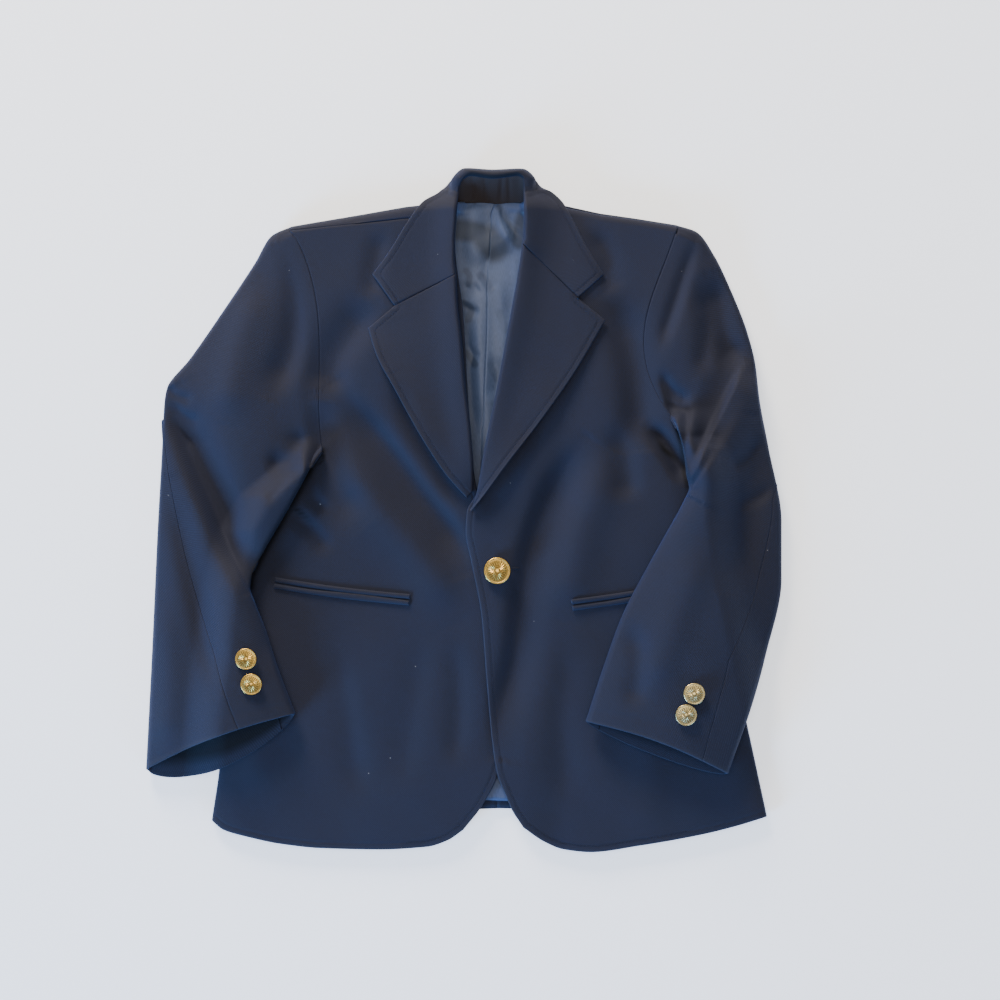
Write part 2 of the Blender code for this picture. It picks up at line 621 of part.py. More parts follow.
def sleeve(side):
    """A sleeve's two pieces, parted by the elbow seam and the forearm seam."""
    table = RIGHT_SLEEVE if side < 0 else LEFT_SLEEVE
    seam_table = RIGHT_ELBOW_SEAM if side < 0 else LEFT_ELBOW_SEAM
    fold_table = RIGHT_SLEEVE_FOLDS if side < 0 else LEFT_SLEEVE_FOLDS
    word = "right" if side < 0 else "left"

    def half_gap(station):
        """Half the gap at a seam, as a share of the width; wider where the cloth turns sharply."""
        at_elbow = math.exp(-(((station - 0.48) / 0.12) ** 2))
        at_head = math.exp(-((station / 0.05) ** 2))
        return 0.005 + 0.01 * at_elbow + 0.03 * at_head

    def seam_at(station):
        return float(np.interp(station, [p[0] for p in seam_table], [p[1] for p in seam_table]))

    def top_place(u, v):
        station = spaced(SLEEVE_ALONG, v)
        last = len(TOP_SLEEVE_ROUND) - 1
        start = seam_at(station) + half_gap(station)
        k = round(u * last)
        c = start if k == 0 else max(TOP_SLEEVE_ROUND[k], start + k * ROUND_SPACING)
        if k == last:
            c -= half_gap(station)
        return sleeve_point(table, side, fold_table, station, c)

    def under_place(u, v):
        station = spaced(SLEEVE_ALONG, v)
        last = len(UNDER_SLEEVE_ROUND) - 1
        end = seam_at(station) - half_gap(station)
        k = round(u * last)
        if k == last:
            c = end
        elif k == last - 1 and end > 0.25:
            c = end * 0.8
        else:
            c = min(UNDER_SLEEVE_ROUND[k], end - (last - k) * ROUND_SPACING)
        if k == 0:
            c += half_gap(station)
        return sleeve_point(table, side, fold_table, station, c)

    rows = len(SLEEVE_ALONG) - 1
    for part, stops, place in (
        ("top", TOP_SLEEVE_ROUND, top_place),
        ("under", UNDER_SLEEVE_ROUND, under_place),
    ):
        cloth(f"{word}_{part}_sleeve", len(stops) - 1, rows, place, CLOTH, WOOL, flip=side < 0)


def pocket(side):
    """Two narrow welts on a front, with the slit between them."""
    start, end = (np.array(p, float) for p in (RIGHT_POCKET if side < 0 else LEFT_POCKET))
    run = (end - start) / np.hypot(*(end - start))
    down = np.array([run[1], -run[0]])
    word = "right" if side < 0 else "left"
    welt = (POCKET_DEPTH - POCKET_SLIT) / 2
    top = front_top if side < 0 else left_front_top
    for name, first in (("upper", 0.0), ("lower", welt + POCKET_SLIT)):

        def place(u, v, first=first):
            sag = POCKET_SAG * math.sin(math.pi * u)
            x, y = start + (end - start) * u + down * (first + sag + welt * (1 - v))
            return x, y, top(x, y) + WELT_WALL + BUTTON_GAP

        cloth(f"{word}_pocket_{name}_welt", 14, 1, place, WELT_WALL, WOOL)


def button(name, diameter, at, height):
    """A domed metal button, turned from its outline, with a short shank under it."""
    radius = diameter / 2
    mesh = bmesh.new()
    verts = [mesh.verts.new((r * radius * MM, 0, z * radius * MM)) for r, z in BUTTON_OUTLINE]
    for a, b in zip(verts, verts[1:]):
        mesh.edges.new((a, b))
    bmesh.ops.spin(
        mesh, geom=mesh.verts[:] + mesh.edges[:], cent=(0, 0, 0), axis=(0, 0, 1),
        angle=2 * math.pi, steps=BUTTON_SIDES, use_merge=True,
    )
    bmesh.ops.remove_doubles(mesh, verts=mesh.verts, dist=1e-6)
    bmesh.ops.recalc_face_normals(mesh, faces=mesh.faces)
    data = bpy.data.meshes.new(name)
    mesh.to_mesh(data)
    mesh.free()
    data.shade_smooth()
    data.set_sharp_from_angle(angle=math.radians(40))
    piece = bpy.data.objects.new(name, data)
    bpy.context.scene.collection.objects.link(piece)
    piece.location = ((at[0] - FRAME_CENTRE[0]) * MM, (at[1] - FRAME_CENTRE[1]) * MM, height * MM)
    data.materials.append(material(name, GILT))
    return piece


def sleeve_height(side, at):
    """Height of a sleeve's upper side at a plan point, from the nearest point of its sections."""
    table = RIGHT_SLEEVE if side < 0 else LEFT_SLEEVE
    fold_table = RIGHT_SLEEVE_FOLDS if side < 0 else LEFT_SLEEVE_FOLDS
    points = [
        sleeve_point(table, side, fold_table, s, c)
        for s in np.linspace(0.7, 1.0, 61)
        for c in np.linspace(0.1, 0.9, 81)
    ]
    return min(points, key=lambda p: math.dist(p[:2], at))[2]


def buttons():
    x, y = FRONT_BUTTON_AT
    button("front_button", FRONT_BUTTON, (x, y), left_front_top(x, y) + BUTTON_GAP)
    for side, places in ((-1, RIGHT_CUFF_BUTTONS), (1, LEFT_CUFF_BUTTONS)):
        word = "right" if side < 0 else "left"
        for number, at in enumerate(places, 1):
            height = sleeve_height(side, at) + BUTTON_GAP
            button(f"{word}_cuff_button_{number}", CUFF_BUTTON, at, height)


def build():
    for old in list(bpy.data.objects):
        bpy.data.objects.remove(old)
    for side in (-1, 1):
        back(side)
        lining(side)
        front(side)
        lapel(side)
        pocket(side)
        sleeve(side)
    collar_stand()
    collar()
    buttons()


build()
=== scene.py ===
import math

import bmesh
import bpy
import numpy as np
from mathutils import Matrix, Vector


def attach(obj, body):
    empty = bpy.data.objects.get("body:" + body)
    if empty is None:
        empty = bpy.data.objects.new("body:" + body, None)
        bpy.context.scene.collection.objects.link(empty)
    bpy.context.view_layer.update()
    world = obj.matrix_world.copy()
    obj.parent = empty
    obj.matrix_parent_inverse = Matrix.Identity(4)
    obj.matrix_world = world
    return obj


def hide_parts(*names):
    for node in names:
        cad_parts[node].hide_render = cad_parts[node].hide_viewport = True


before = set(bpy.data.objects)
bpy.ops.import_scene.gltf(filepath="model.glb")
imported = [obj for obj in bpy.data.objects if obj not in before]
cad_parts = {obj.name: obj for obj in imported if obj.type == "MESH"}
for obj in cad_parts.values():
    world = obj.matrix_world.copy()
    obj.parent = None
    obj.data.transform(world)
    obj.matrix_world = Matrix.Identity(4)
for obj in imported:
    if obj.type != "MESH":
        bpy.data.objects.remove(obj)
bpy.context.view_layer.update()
print("frame loaded")

# Sizes are millimetres in the plan of the photo until a mesh is made from them
metresPerUnit = 0.001
planCentre = (-0.5, -0.6)
clothWall = 1.5
liningWall = 1.0
weltWall = 1.2
seamGap = 0.3
layGap = 1.0
detail = 0.95
tiny = 1e-9

bodyProfile = ((-262, 6), (-180, 8), (-60, 10), (60, 14), (130, 15), (205, 13), (262, 13))
rightHem = ((-193, -237), (-184, -244), (-167, -249), (-138, -255), (-109, -258), (-65, -259),
            (-29, -257), (-13, -252), (-1, -244))
leftHem = ((45, -242), (61, -253), (76, -259), (96, -261), (134, -256), (179, -248), (204, -242),
           (231, -234))
rightEdge = ((-1, -244), (13, -226), (25, -203), (33, -171), (37, -129), (38, -76), (34, -38),
             (23, -8), (9, 18), (4, 68), (-1, 151), (-7, 203), (-7, 224))
leftEdge = ((45, -242), (36, -228), (31, -216), (25, -201), (21, -175), (17, -130), (13, -80),
            (5, -38), (1, -17), (2, -1), (10, 14), (17, 52), (26, 97), (36, 154), (43, 193), (46, 224))
rightSide = ((-193, -237), (-187, -196), (-182, -137), (-172, -61), (-160, -16), (-144, 10),
             (-121, 29), (-115, 37))
leftSide = ((231, -234), (228, -220), (215, -160), (196, -76), (184, -8), (182, 22), (174, 46), (164, 56))
backHem = ((-192, -236), (-87, -232), (25, -228), (134, -231), (229, -236))
shoulderLine = ((-146, 210), (-132, 216), (-79, 225), (-45, 231), (-18, 234), (22, 236), (71, 233),
                (103, 226), (131, 222), (162, 217), (176, 212))
seamForward = ((-132, 3), (-7, 12), (47, 6), (75, 0.8), (162, 0.3))

sleeveColumns = ("station", "outerX", "outerY", "innerX", "innerY", "bow", "skew", "fold", "crown", "lip")
rightSleeve = (
    (0.00, -132, 216, -108, 45, 10.1, -2.0, 12, 0.6, 0),
    (0.06, -147, 209, -116, 32, 8.0, -1.6, 11, 4.5, 0),
    (0.14, -160, 188, -124, 17, 5.0, -1.0, 9, 8.0, 0),
    (0.26, -184, 152, -137, -6, 2.0, 0.0, 8, 10.0, 0),
    (0.38, -209, 116, -151, -30, 0.0, 0.0, 8, 9.0, 0),
    (0.48, -227, 93, -161, -50, 0.0, 0.0, 8, 6.0, 0),
    (0.54, -229, 82, -162, -59, 0.0, 0.0, 8, 6.0, 0),
    (0.62, -231, 42, -158, -71, 0.0, 0.0, 8, 9.0, 0),
    (0.74, -234, -11, -151, -89, 0.0, 0.0, 8, 10.0, 0),
    (0.87, -238, -99, -141, -120, 2.0, 0.0, 8, 10.0, 6),
    (1.00, -243, -198, -128, -154, 5.0, 0.0, 8, 11.0, 26),
)
leftSleeve = (
    (0.00, 162, 217, 159, 68, 23.1, 0.96, 12, 0.6, 0),
    (0.05, 177, 212, 162, 59, 19.0, 0.9, 11, 4.5, 0),
    (0.12, 190, 195, 165, 48, 13.0, 0.6, 9, 7.0, 0),
    (0.20, 204, 166, 167, 36, 7.0, 0.3, 8, 8.0, 0),
    (0.28, 216, 135, 168, 26, 3.0, 0.0, 8, 6.0, 0),
    (0.34, 222, 111, 170, 17, 0.0, 0.0, 8, 7.0, 0),
    (0.40, 225, 85, 165, 5, 0.0, 0.0, 8, 10.0, 0),
    (0.50, 232, 48, 153, -17, 0.0, 0.0, 8, 11.0, 0),
    (0.62, 242, -8, 137, -46, 0.0, 0.0, 8, 10.0, 0),
    (0.74, 242, -53, 120, -79, 0.0, 0.0, 8, 9.0, 0),
    (0.87, 229, -114, 105, -120, 2.0, 0.0, 8, 9.0, 4),
    (1.00, 200, -200, 92, -160, 5.0, 0.0, 8, 10.0, 12),
)
rightElbowSeam = ((0.0, -0.35), (0.5, -0.14), (0.6, 0.08), (0.74, 0.27), (0.87, 0.5), (1.0, 0.64))
leftElbowSeam = ((0.0, -0.35), (0.5, -0.15), (0.58, 0.09), (0.74, 0.19), (0.87, 0.26), (1.0, 0.22))

lapelColumns = ("station", "rollX", "rollY", "edgeX", "edgeY", "lift")
rightLapel = (
    (0.00, 7, 15, 2, 9, 1.0),
    (0.10, 7, 30, -14, 27, 6.5),
    (0.25, 5, 60, -33, 56, 8.5),
    (0.45, 1, 95, -53, 92, 6.0),
    (0.65, -2, 130, -66, 116, 2.6),
    (0.85, -5, 158, -73, 138, 0.0),
    (1.00, -6, 178.8, -53, 154.8, 0.0),
)
leftLapel = (
    (0.00, 6, 2, 5, -1, 1.0),
    (0.10, 10, 16, 14, 10, 5.0),
    (0.25, 15, 45, 34, 37, 8.5),
    (0.45, 23, 84, 58, 68, 6.0),
    (0.65, 32, 131, 84, 105, 2.6),
    (0.85, 40, 175, 107, 144, 0.0),
    (1.00, 44, 201.7, 86.4, 160.6, 0.0),
)
collarColumns = ("station", "rollX", "rollY", "edgeX", "edgeY", "wrap", "outX", "outY")
collarRows = (
    (0.00, -6, 179, -53, 155, 0.0, 0, 0.0),
    (0.07, -7, 189, -70, 179, 0.0, 0, 0.0),
    (0.14, -7, 203, -58, 195, 0.0, 0, 0.0),
    (0.23, -6, 219, -41, 222, 0.0, 0, 0.0),
    (0.29, -5, 233, -31, 235, 0.0, 0, 0.0),
    (0.345, -4, 243, -21, 241, 0.15, -8, 0.0),
    (0.40, -1, 252, -15, 245, 0.7, -10, -0.5),
    (0.44, 5, 256, -3, 241, 1.0, -5, 4.0),
    (0.50, 22, 254, 22, 239, 1.0, 0, 5.0),
    (0.56, 40, 256, 47, 241, 1.0, 5, 3.5),
    (0.60, 45, 252, 59, 245, 0.7, 10, -0.5),
    (0.655, 45, 243, 65, 243, 0.15, 8, 0.0),
    (0.71, 45, 233, 74, 235, 0.0, 0, 0.0),
    (0.77, 45, 221, 80, 225, 0.0, 0, 0.0),
    (0.86, 45, 213, 96, 195, 0.0, 0, 0.0),
    (0.93, 45, 206, 106, 179, 0.0, 0, 0.0),
    (1.00, 44, 202, 86, 161, 0.0, 0, 0.0),
)
standFoot = ((-8, 233.5), (13, 234.5), (25, 233.5), (38, 234.5), (51, 233.5))
standTop = ((-3.5, 252), (5, 256.5), (22, 255), (40, 256.5), (48.5, 252))

# Creases: how deep (below 0 it is a ridge), half width on the left and on the right of the line as it
# is followed, then the line. Each fades at both ends.
bodyCreases = (
    (6.2, 12, 17, (-66, 160), (-84, 138), (-100, 112), (-106, 84)),
    (7.0, 9, 17, (-98, 100), (-88, 82), (-67, 56), (-37, 15), (-8, -25), (2, -50)),
    (-3.8, 14, 17, (-104, 52), (-70, 6), (-27, -44), (-8, -84)),
    (4.6, 12, 15, (-112, 90), (-106, 52), (-96, 18), (-74, -10)),
    (3.0, 5, 8, (-140, 4), (-128, -4), (-114, -16), (-102, -32)),
    (2.4, 4, 7, (-123, 27), (-116, 12), (-103, -2)),
    (7.3, 9, 18, (24, -190), (30, -150), (40, -108), (44, -70), (51, -30), (66, 12), (96, 56)),
    (5.9, 15, 13, (104, 166), (122, 138), (131, 96), (134, 44)),
    (-3.8, 18, 16, (112, 46), (96, 4), (84, -36), (74, -82)),
    (6.8, 7, 6, (138, 66), (152, 50), (170, 22)),
    (3.2, 9, 12, (112, 66), (122, 40), (124, 6)),
    (1.6, 9, 13, (-102, -92), (-90, -150), (-80, -224)),
    (-1.3, 15, 13, (-148, -91), (-154, -160), (-160, -226)),
    (1.6, 13, 11, (82, -96), (75, -160), (79, -224)),
    (-1.3, 13, 15, (130, -150), (143, -210), (139, -250)),
    (1.4, 10, 14, (-32, -92), (-40, -150), (-50, -216)),
    (2.2, 7, 9, (-61, 214), (-68, 186), (-72, 160)),
    (2.4, 9, 8, (96, 214), (108, 190), (112, 164)),
    (1.8, 8, 9, (-8, -96), (-4, -140), (-8, -196)),
    (3.6, 8, 9, (-56, 104), (-40, 66), (-16, 26), (2, 0)),
    (3.2, 9, 8, (62, 82), (44, 48), (24, 16), (8, -4)),
)
rightSleeveCreases = (
    (5.9, 10, 13, (-126, 204), (-122, 168), (-128, 132), (-148, 84)),
    (8.9, 20, 8, (-228, 92), (-212, 56), (-193, 10), (-176, -32), (-160, -62)),
    (1.4, 3, 4, (-228, 96), (-220, 88), (-206, 84)),
    (1.1, 3, 5, (-224, 84), (-214, 73), (-200, 66)),
    (1.0, 3, 5, (-226, 70), (-217, 58), (-206, 48)),
    (4.3, 12, 9, (-224, 26), (-205, -55), (-186, -140)),
    (-3.2, 15, 13, (-152, 176), (-172, 122), (-182, 66)),
    (3.2, 6, 9, (-158, -30), (-148, -76), (-141, -118)),
    (-2.7, 12, 14, (-230, -60), (-225, -130), (-228, -186)),
    (3.0, 5, 8, (-120, 60), (-132, 40), (-150, 30)),
    (2.2, 4, 6, (-122, 38), (-136, 22), (-150, 4)),
)
leftSleeveCreases = (
    (4.6, 4, 6, (149, 84), (158, 76), (168, 74), (166, 52), (168, 28)),
    (5.0, 6, 9, (177, 212), (168, 188), (159, 158), (146, 122)),
    (6.2, 9, 12, (188, 182), (194, 152), (200, 126), (214, 110)),
    (-8.0, 3.2, 30, (166, 12), (182, 46), (197, 76), (215, 113)),
    (-5.0, 13, 4, (165, 88), (162, 66), (168, 16)),
    (3.6, 5, 9, (146, 106), (158, 90), (172, 80)),
    (4.1, 14, 16, (222, 74), (216, 12), (200, -64)),
    (-2.6, 14, 16, (182, -24), (160, -80), (140, -140)),
    (2.9, 7, 8, (178, 176), (184, 140), (180, 100)),
    (2.2, 5, 7, (226, 56), (214, 40), (200, 32)),
    (1.9, 4, 6, (236, 20), (222, 8), (206, 4)),
    (2.4, 8, 9, (122, -84), (132, -110), (128, -150)),
)
liningCreases = (
    (1.6, 9, 8, (-6, 217), (8, 212), (20, 216), (32, 224), (46, 214)),
    (1.9, 9, 11, (-6, 192), (10, 184), (20, 188), (34, 194), (48, 190)),
    (-0.7, 8, 8, (-6, 204), (10, 200), (20, 204), (34, 208)),
    (1.9, 3, 4, (25, 235), (30, 222), (38, 212), (46, 206)),
    (1.7, 3, 3, (26, 234), (34, 227), (46, 222)),
    (-1.4, 3, 3, (25, 234), (28, 220), (35, 204)),
    (1.7, 4, 6, (-6, 172), (5, 168), (12, 172)),
    (1.8, 3, 5, (-6, 158), (4, 153), (12, 150)),
    (1.7, 3, 6, (-4, 126), (4, 120), (12, 116)),
    (0.9, 4, 6, (12, 182), (18, 174), (24, 168)),
    (-1.4, 5, 7, (23, 182), (29, 140), (28, 100)),
    (1.6, 5, 6, (2, 146), (5, 104), (8, 56)),
    (-1.2, 5, 5, (11, 156), (10, 112), (12, 66)),
    (1.4, 4, 7, (32, 196), (36, 168), (32, 138)),
    (1.2, 4, 6, (20, 120), (24, 104), (22, 84)),
)
pleatLine = ((13, 60), (14.2, 68), (17.3, 137), (17.3, 185), (19.2, 195), (20.3, 226), (24.9, 238))
# Painted shade in deep folds that no light reaches: how much, how wide, then the line
bodyShades = (
    (0.97, 2.4, (147, 55), (152, 46), (162, 38)),
    (0.80, 1.3, (-134, 5), (-127, 0), (-117, -8)),
    (0.85, 1.2, (-111, 47), (-107, 41), (-109, 36), (-115, 33)),
)
# Painted dark reflections on the satin: how much, how wide, then the line
liningShades = (
    (0.92, 8.5, (-8, 214), (3, 213), (12, 211)),
    (0.92, 11.5, (17, 207), (23, 200)),
    (0.88, 6.5, (46, 224), (43, 213), (42, 205)),
    (0.95, 1.5, (-4, 236.4), (2, 236.2), (8, 235.2)),
    (0.50, 2.4, (1, 183), (4, 178), (3, 172)),
    (0.35, 3.2, (12, 179), (16, 175), (20, 168)),
    (0.60, 2.8, (0, 158), (5, 153), (3, 145)),
    (0.28, 3.2, (27, 150), (31, 138)),
    (0.60, 2.8, (-1, 121), (4, 117), (8, 111)),
    (0.28, 3.0, (20, 110), (25, 100)),
    (0.55, 2.2, (26, 232), (33, 220), (37, 210)),
)
# Per side, the tuck, mouth and fold values set painted shade on the front and the sleeve
sides = {
    -1: {
        "word": "right", "hem": rightHem, "closing": rightEdge, "side": rightSide, "lapel": rightLapel,
        "sleeve": rightSleeve, "sleeveCreases": rightSleeveCreases, "elbowSeam": rightElbowSeam,
        "tuckShadeTo": 0.6, "tuckShadeWidth": 2.6, "mouthShade": 0.97, "foldShadeTo": 0.56, "foldShadeWidth": 9.0,
        "cuffTop": ((-164, -112), (-160, -131)), "pocket": ((-144, -51), (-41, -64)),
    },
    1: {
        "word": "left", "hem": leftHem[::-1], "closing": leftEdge, "side": leftSide, "lapel": leftLapel,
        "sleeve": leftSleeve, "sleeveCreases": leftSleeveCreases, "elbowSeam": leftElbowSeam,
        "tuckShadeTo": 0.36, "tuckShadeWidth": 1.8, "mouthShade": 0.55, "foldShadeTo": 0.34, "foldShadeWidth": 7.5,
        "cuffTop": ((173, -138), (167, -154)), "pocket": ((81, -68), (184, -51)),
    },
}


# Curves and heights


def ease(low, high, value):
    t = np.clip((np.asarray(value, float) - low) / (high - low), 0, 1)
    return t * t * (3 - 2 * t)


def bell(distance, halfWidth):
    return np.exp(-((distance / halfWidth) ** 2))


def quarter(t):
    # A quarter circle, from 0 up to 1
    return np.sqrt(1 - (1 - np.clip(t, 0, 1)) ** 2)


def through(knots, values, at):
    # A smooth curve through the values, which doesn't overshoot
    knots, values = np.asarray(knots, float), np.asarray(values, float)
    at = np.clip(at, knots[0], knots[-1])
    i = np.clip(np.searchsorted(knots, at, side="right") - 1, 0, len(knots) - 2)
    step = np.diff(knots)
    slope = np.diff(values) / step
    tangent = np.concatenate([slope[:1], np.zeros(len(knots) - 2), slope[-1:]])
    before, after = slope[:-1], slope[1:]
    same = before * after > 0
    tangent[1:-1] = np.where(same, 2 * before * after / np.where(same, before + after, 1), 0)
    t = (at - knots[i]) / step[i]
    return ((2 * t**3 - 3 * t**2 + 1) * values[i] + (t**3 - 2 * t**2 + t) * tangent[i] * step[i]
            + (3 * t**2 - 2 * t**3) * values[i + 1] + (t**3 - t**2) * tangent[i + 1] * step[i])


def between(table, at, given=0, wanted=1):
    # Straight steps between the rows of a table
    return np.interp(at, [row[given] for row in table], [row[wanted] for row in table])


def lengthAlong(path):
    return np.concatenate([[0], np.cumsum(np.linalg.norm(np.diff(path, axis=0), axis=1))])


def lengthAcross(points):
    steps = np.linalg.norm(np.diff(points, axis=1), axis=2)
    return np.concatenate([np.zeros((len(points), 1)), np.cumsum(steps, 1)], 1)


def curveAt(points, share):
    pts = np.array(points, float)
    along = lengthAlong(pts)
    at = np.asarray(share) * along[-1]
    return np.stack([through(along, pts[:, k], at) for k in range(pts.shape[1])], -1)


def pointAt(row, name):
    return np.stack([row[name + "X"], row[name + "Y"]], -1)


def rowAt(table, columns, station, corners=()):
    # Named columns of a table at these stations. Edge columns keep a corner at the stations named.
    rows = np.array(table, float)
    station = np.asarray(station, float)
    found = {}
    for k, name in enumerate(columns):
        if name.startswith("edge") and corners:
            value = np.zeros_like(station)
            cuts = [rows[0, 0], *corners, rows[-1, 0]]
            for low, high in zip(cuts, cuts[1:]):
                part = (rows[:, 0] >= low - tiny) & (rows[:, 0] <= high + tiny)
                here = (station >= low) & (station <= high)
                value[here] = through(rows[part, 0], rows[part, k], station[here])
            found[name] = value
        else:
            found[name] = through(rows[:, 0], rows[:, k], station)
    return found


def lineDistance(line, x, y):
    # Distance to a line of points, which side of it, and how far along it the nearest point is
    best = np.full(np.shape(x), np.inf)
    side, where = np.zeros(np.shape(x)), np.zeros(np.shape(x))
    total = sum(math.dist(a, b) for a, b in zip(line, line[1:]))
    run = 0.0
    for (ax, ay), (bx, by) in zip(line, line[1:]):
        dx, dy = bx - ax, by - ay
        size = math.hypot(dx, dy) + tiny
        t = np.clip(((x - ax) * dx + (y - ay) * dy) / size**2, 0, 1)
        d = np.hypot(x - ax - t * dx, y - ay - t * dy)
        near = d < best
        best = np.where(near, d, best)
        side = np.where(near, dx * (y - ay) - dy * (x - ax), side)
        where = np.where(near, (run + t * size) / total, where)
        run += size
    return best, side, where


creaseEnds = {"fadeIn": 0.3, "fadeOut": 0.22, "least": 0.12}


def creases(table, x, y):
    total = np.zeros(np.shape(x))
    least = creaseEnds["least"]
    for depth, leftWidth, rightWidth, *line in table:
        d, side, where = lineDistance(curveAt(line, np.linspace(0, 1, 4 * len(line))), x, y)
        fade = ease(0, creaseEnds["fadeIn"], where) * ease(0, creaseEnds["fadeOut"], 1 - where)
        beside = np.where((where > 0) & (where < 1), 1, fade + least)
        shape = np.where(side > 0, bell(d, leftWidth), bell(d, rightWidth))
        total += depth * shape * (least + (1 - least) * fade) * beside
    return total


# Soft unevenness of cloth that has been lying about: height, wave lengths along x and y, start
ripples = ((0.30, 21, 47, 1.3), (0.22, -39, 19, 0.4), (0.16, 12.5, -23, 2.2), (0.10, 8.1, 11.3, 0.0))


def ripple(x, y, size=1.0):
    waves = (height * np.sin(x / xLong + y / yLong + start) for height, xLong, yLong, start in ripples)
    return size * sum(waves)


def inBody(x, y):
    # How far a point is inside the body's side edges
    right, left = (between(sides[side]["side"], y, 1, 0) for side in (-1, 1))
    return np.minimum(x - right, left - x)


def shoulderY(x):
    return between(shoulderLine, x)


def forwardOf(x):
    return between(seamForward, x)


def bodyHeight(y):
    return through(*zip(*bodyProfile), y)


body = {
    "shoulderFold": 6.5, "shoulderHeight": 13.0, "sideRoll": 28.0, "sideLift": 0.3, "armpit": (10, 50),
    "overlap": 2.9, "overlapFrom": (44, 78), "neckMiddle": 22, "neckHalf": 38, "neckFade": 20,
    "neckLeast": 0.4, "backSeam": 25, "backSeamFoot": -228, "backSeamGap": 0.4, "seamRidge": 0.5,
    "armholeGap": (1.55, 0.8), "frontTuck": -0.35, "backTuck": -0.2, "stitchInset": 4.6,
    "backTurnRows": 10, "stripRows": 4, "tuckShade": 0.92, "foldEnds": 0.35,
    "frontColumns": ((0.035, 7), (0.955, 84), (1.0, 15)), "frontRows": ((0.016, 12), (0.985, 205), (1.0, 7)),
}


def rightTop(x, y):
    full = bodyHeight(y) - creases(bodyCreases, x, y) + ripple(x, y)
    foot = 2 * clothWall + seamGap + body["sideLift"]
    belowArmpit = 1 - ease(*body["armpit"], y)
    rolled = foot + (full - foot) * quarter(inBody(x, y) / body["sideRoll"])
    full = full + (rolled - full) * belowArmpit
    return full / 2 * (1 + quarter((shoulderY(x) - y) / body["shoulderFold"]))


def leftTop(x, y):
    return rightTop(x, y) + body["overlap"] * (1 - ease(*body["overlapFrom"], x))


def topOf(side):
    return rightTop if side < 0 else leftTop


def fromNeck(x):
    return np.abs(x - body["neckMiddle"])


def neckFold(x):
    # How high the back stands where it folds over the shoulder; it flattens behind the neck
    flat = ease(0, body["neckFade"], body["neckHalf"] - fromNeck(x))
    return np.maximum(body["neckLeast"], body["shoulderHeight"] * (1 - flat))


def patch(bottom, top, left, right, u, v):
    # A sheet spanned between four border curves
    low, high, near, far = bottom(u)[None], top(u)[None], left(v)[:, None], right(v)[:, None]
    u, v = u[None, :, None], v[:, None, None]
    corners = ((1 - u) * (1 - v) * low[:, :1] + u * (1 - v) * low[:, -1:]
               + (1 - u) * v * high[:, :1] + u * v * high[:, -1:])
    return (1 - u) * near + u * far + (1 - v) * low + v * high - corners


def stops(*parts):
    # Uneven spacing of rows: (end, how many steps) one after another from 0
    found, start = [0.0], 0.0
    for end, count in parts:
        count = max(2, round(count * detail))
        found += list(start + (end - start) * np.arange(1, count + 1) / count)
        start = end
    return np.array(found)


def stopsThrough(knots, count):
    # Even spacing that has a row on every knot
    found = [knots[0]]
    for low, high in zip(knots, knots[1:]):
        n = max(1, round(count * detail * (high - low)))
        found += list(low + (high - low) * np.arange(1, n + 1) / n)
    return np.array(found)


edges = {"rimWidth": 0.9, "rimDrop": 0.7, "dent": 0.22, "dentWidth": 0.8, "wornAt": 0.4, "wornWidth": 0.9}
# How far from each seam its cloth rounds off, and how deep
seams = {
    "side": (1.4, 0.9), "shoulder": (1.2, 0.6), "pleat": (1.0, 0.35), "gorge": (1.1, 0.25),
    "sleeve": (1.3, 0.75), "sleeveHead": (1.5, 0.9), "welt": (1.3, 0.9),
}


def rim(d, inset):
    # Height of a turned and topstitched edge: round at the rim, pressed in a little along the stitches
    drop = edges["rimDrop"] * (1 - quarter(d / edges["rimWidth"]))
    return -drop - edges["dent"] * bell(d - inset, edges["dentWidth"])


def wornRim(d):
    return bell(d - edges["wornAt"], edges["wornWidth"])


def seamRound(d, name):
    size, drop = seams[name]
    return -drop * (1 - quarter(d / size))


# Materials


def makeNode(tree, kind, inputs=None, **settings):
    node = tree.nodes.new(kind)
    for name, value in settings.items():
        setattr(node, name, value)
    for name, value in (inputs or {}).items():
        node.inputs[name].default_value = value
    return node


def ramp(tree, source, stopsList):
    node = makeNode(tree, "ShaderNodeValToRGB")
    elements = node.color_ramp.elements
    while len(elements) < len(stopsList):
        elements.new(0.5)
    for element, (place, colour) in zip(elements, stopsList):
        element.position = place
        element.color = (*colour, 1)
    tree.links.new(source, node.inputs["Fac"])
    return node.outputs["Color"]


def mixColours(tree, factor, a, b):
    node = makeNode(tree, "ShaderNodeMix", data_type="RGBA")
    sockets = {"Factor": node.inputs[0], "A": node.inputs[6], "B": node.inputs[7]}
    for name, value in (("Factor", factor), ("A", a), ("B", b)):
        if isinstance(value, bpy.types.NodeSocket):
            tree.links.new(value, sockets[name])
        else:
            sockets[name].default_value = value if name == "Factor" else (*value, 1)
    return node.outputs[2]


def maths(tree, operation, a, b=0.0, c=0.0):
    node = makeNode(tree, "ShaderNodeMath", operation=operation)
    for k, value in enumerate((a, b, c)):
        if isinstance(value, bpy.types.NodeSocket):
            tree.links.new(value, node.inputs[k])
        else:
            node.inputs[k].default_value = value
    return node.outputs[0]


def noiseOn(tree, place, scale, steps, rough):
    node = makeNode(tree, "ShaderNodeTexNoise", {"Scale": scale, "Detail": steps, "Roughness": rough})
    tree.links.new(place, node.inputs["Vector"])
    return node.outputs["Fac"]


def startMaterial(name, roughness, metallic=0.0):
    material = bpy.data.materials.new(name)
    material.use_nodes = True
    shader = material.node_tree.nodes["Principled BSDF"]
    shader.inputs["Roughness"].default_value = roughness
    shader.inputs["Metallic"].default_value = metallic
    return material, material.node_tree, shader


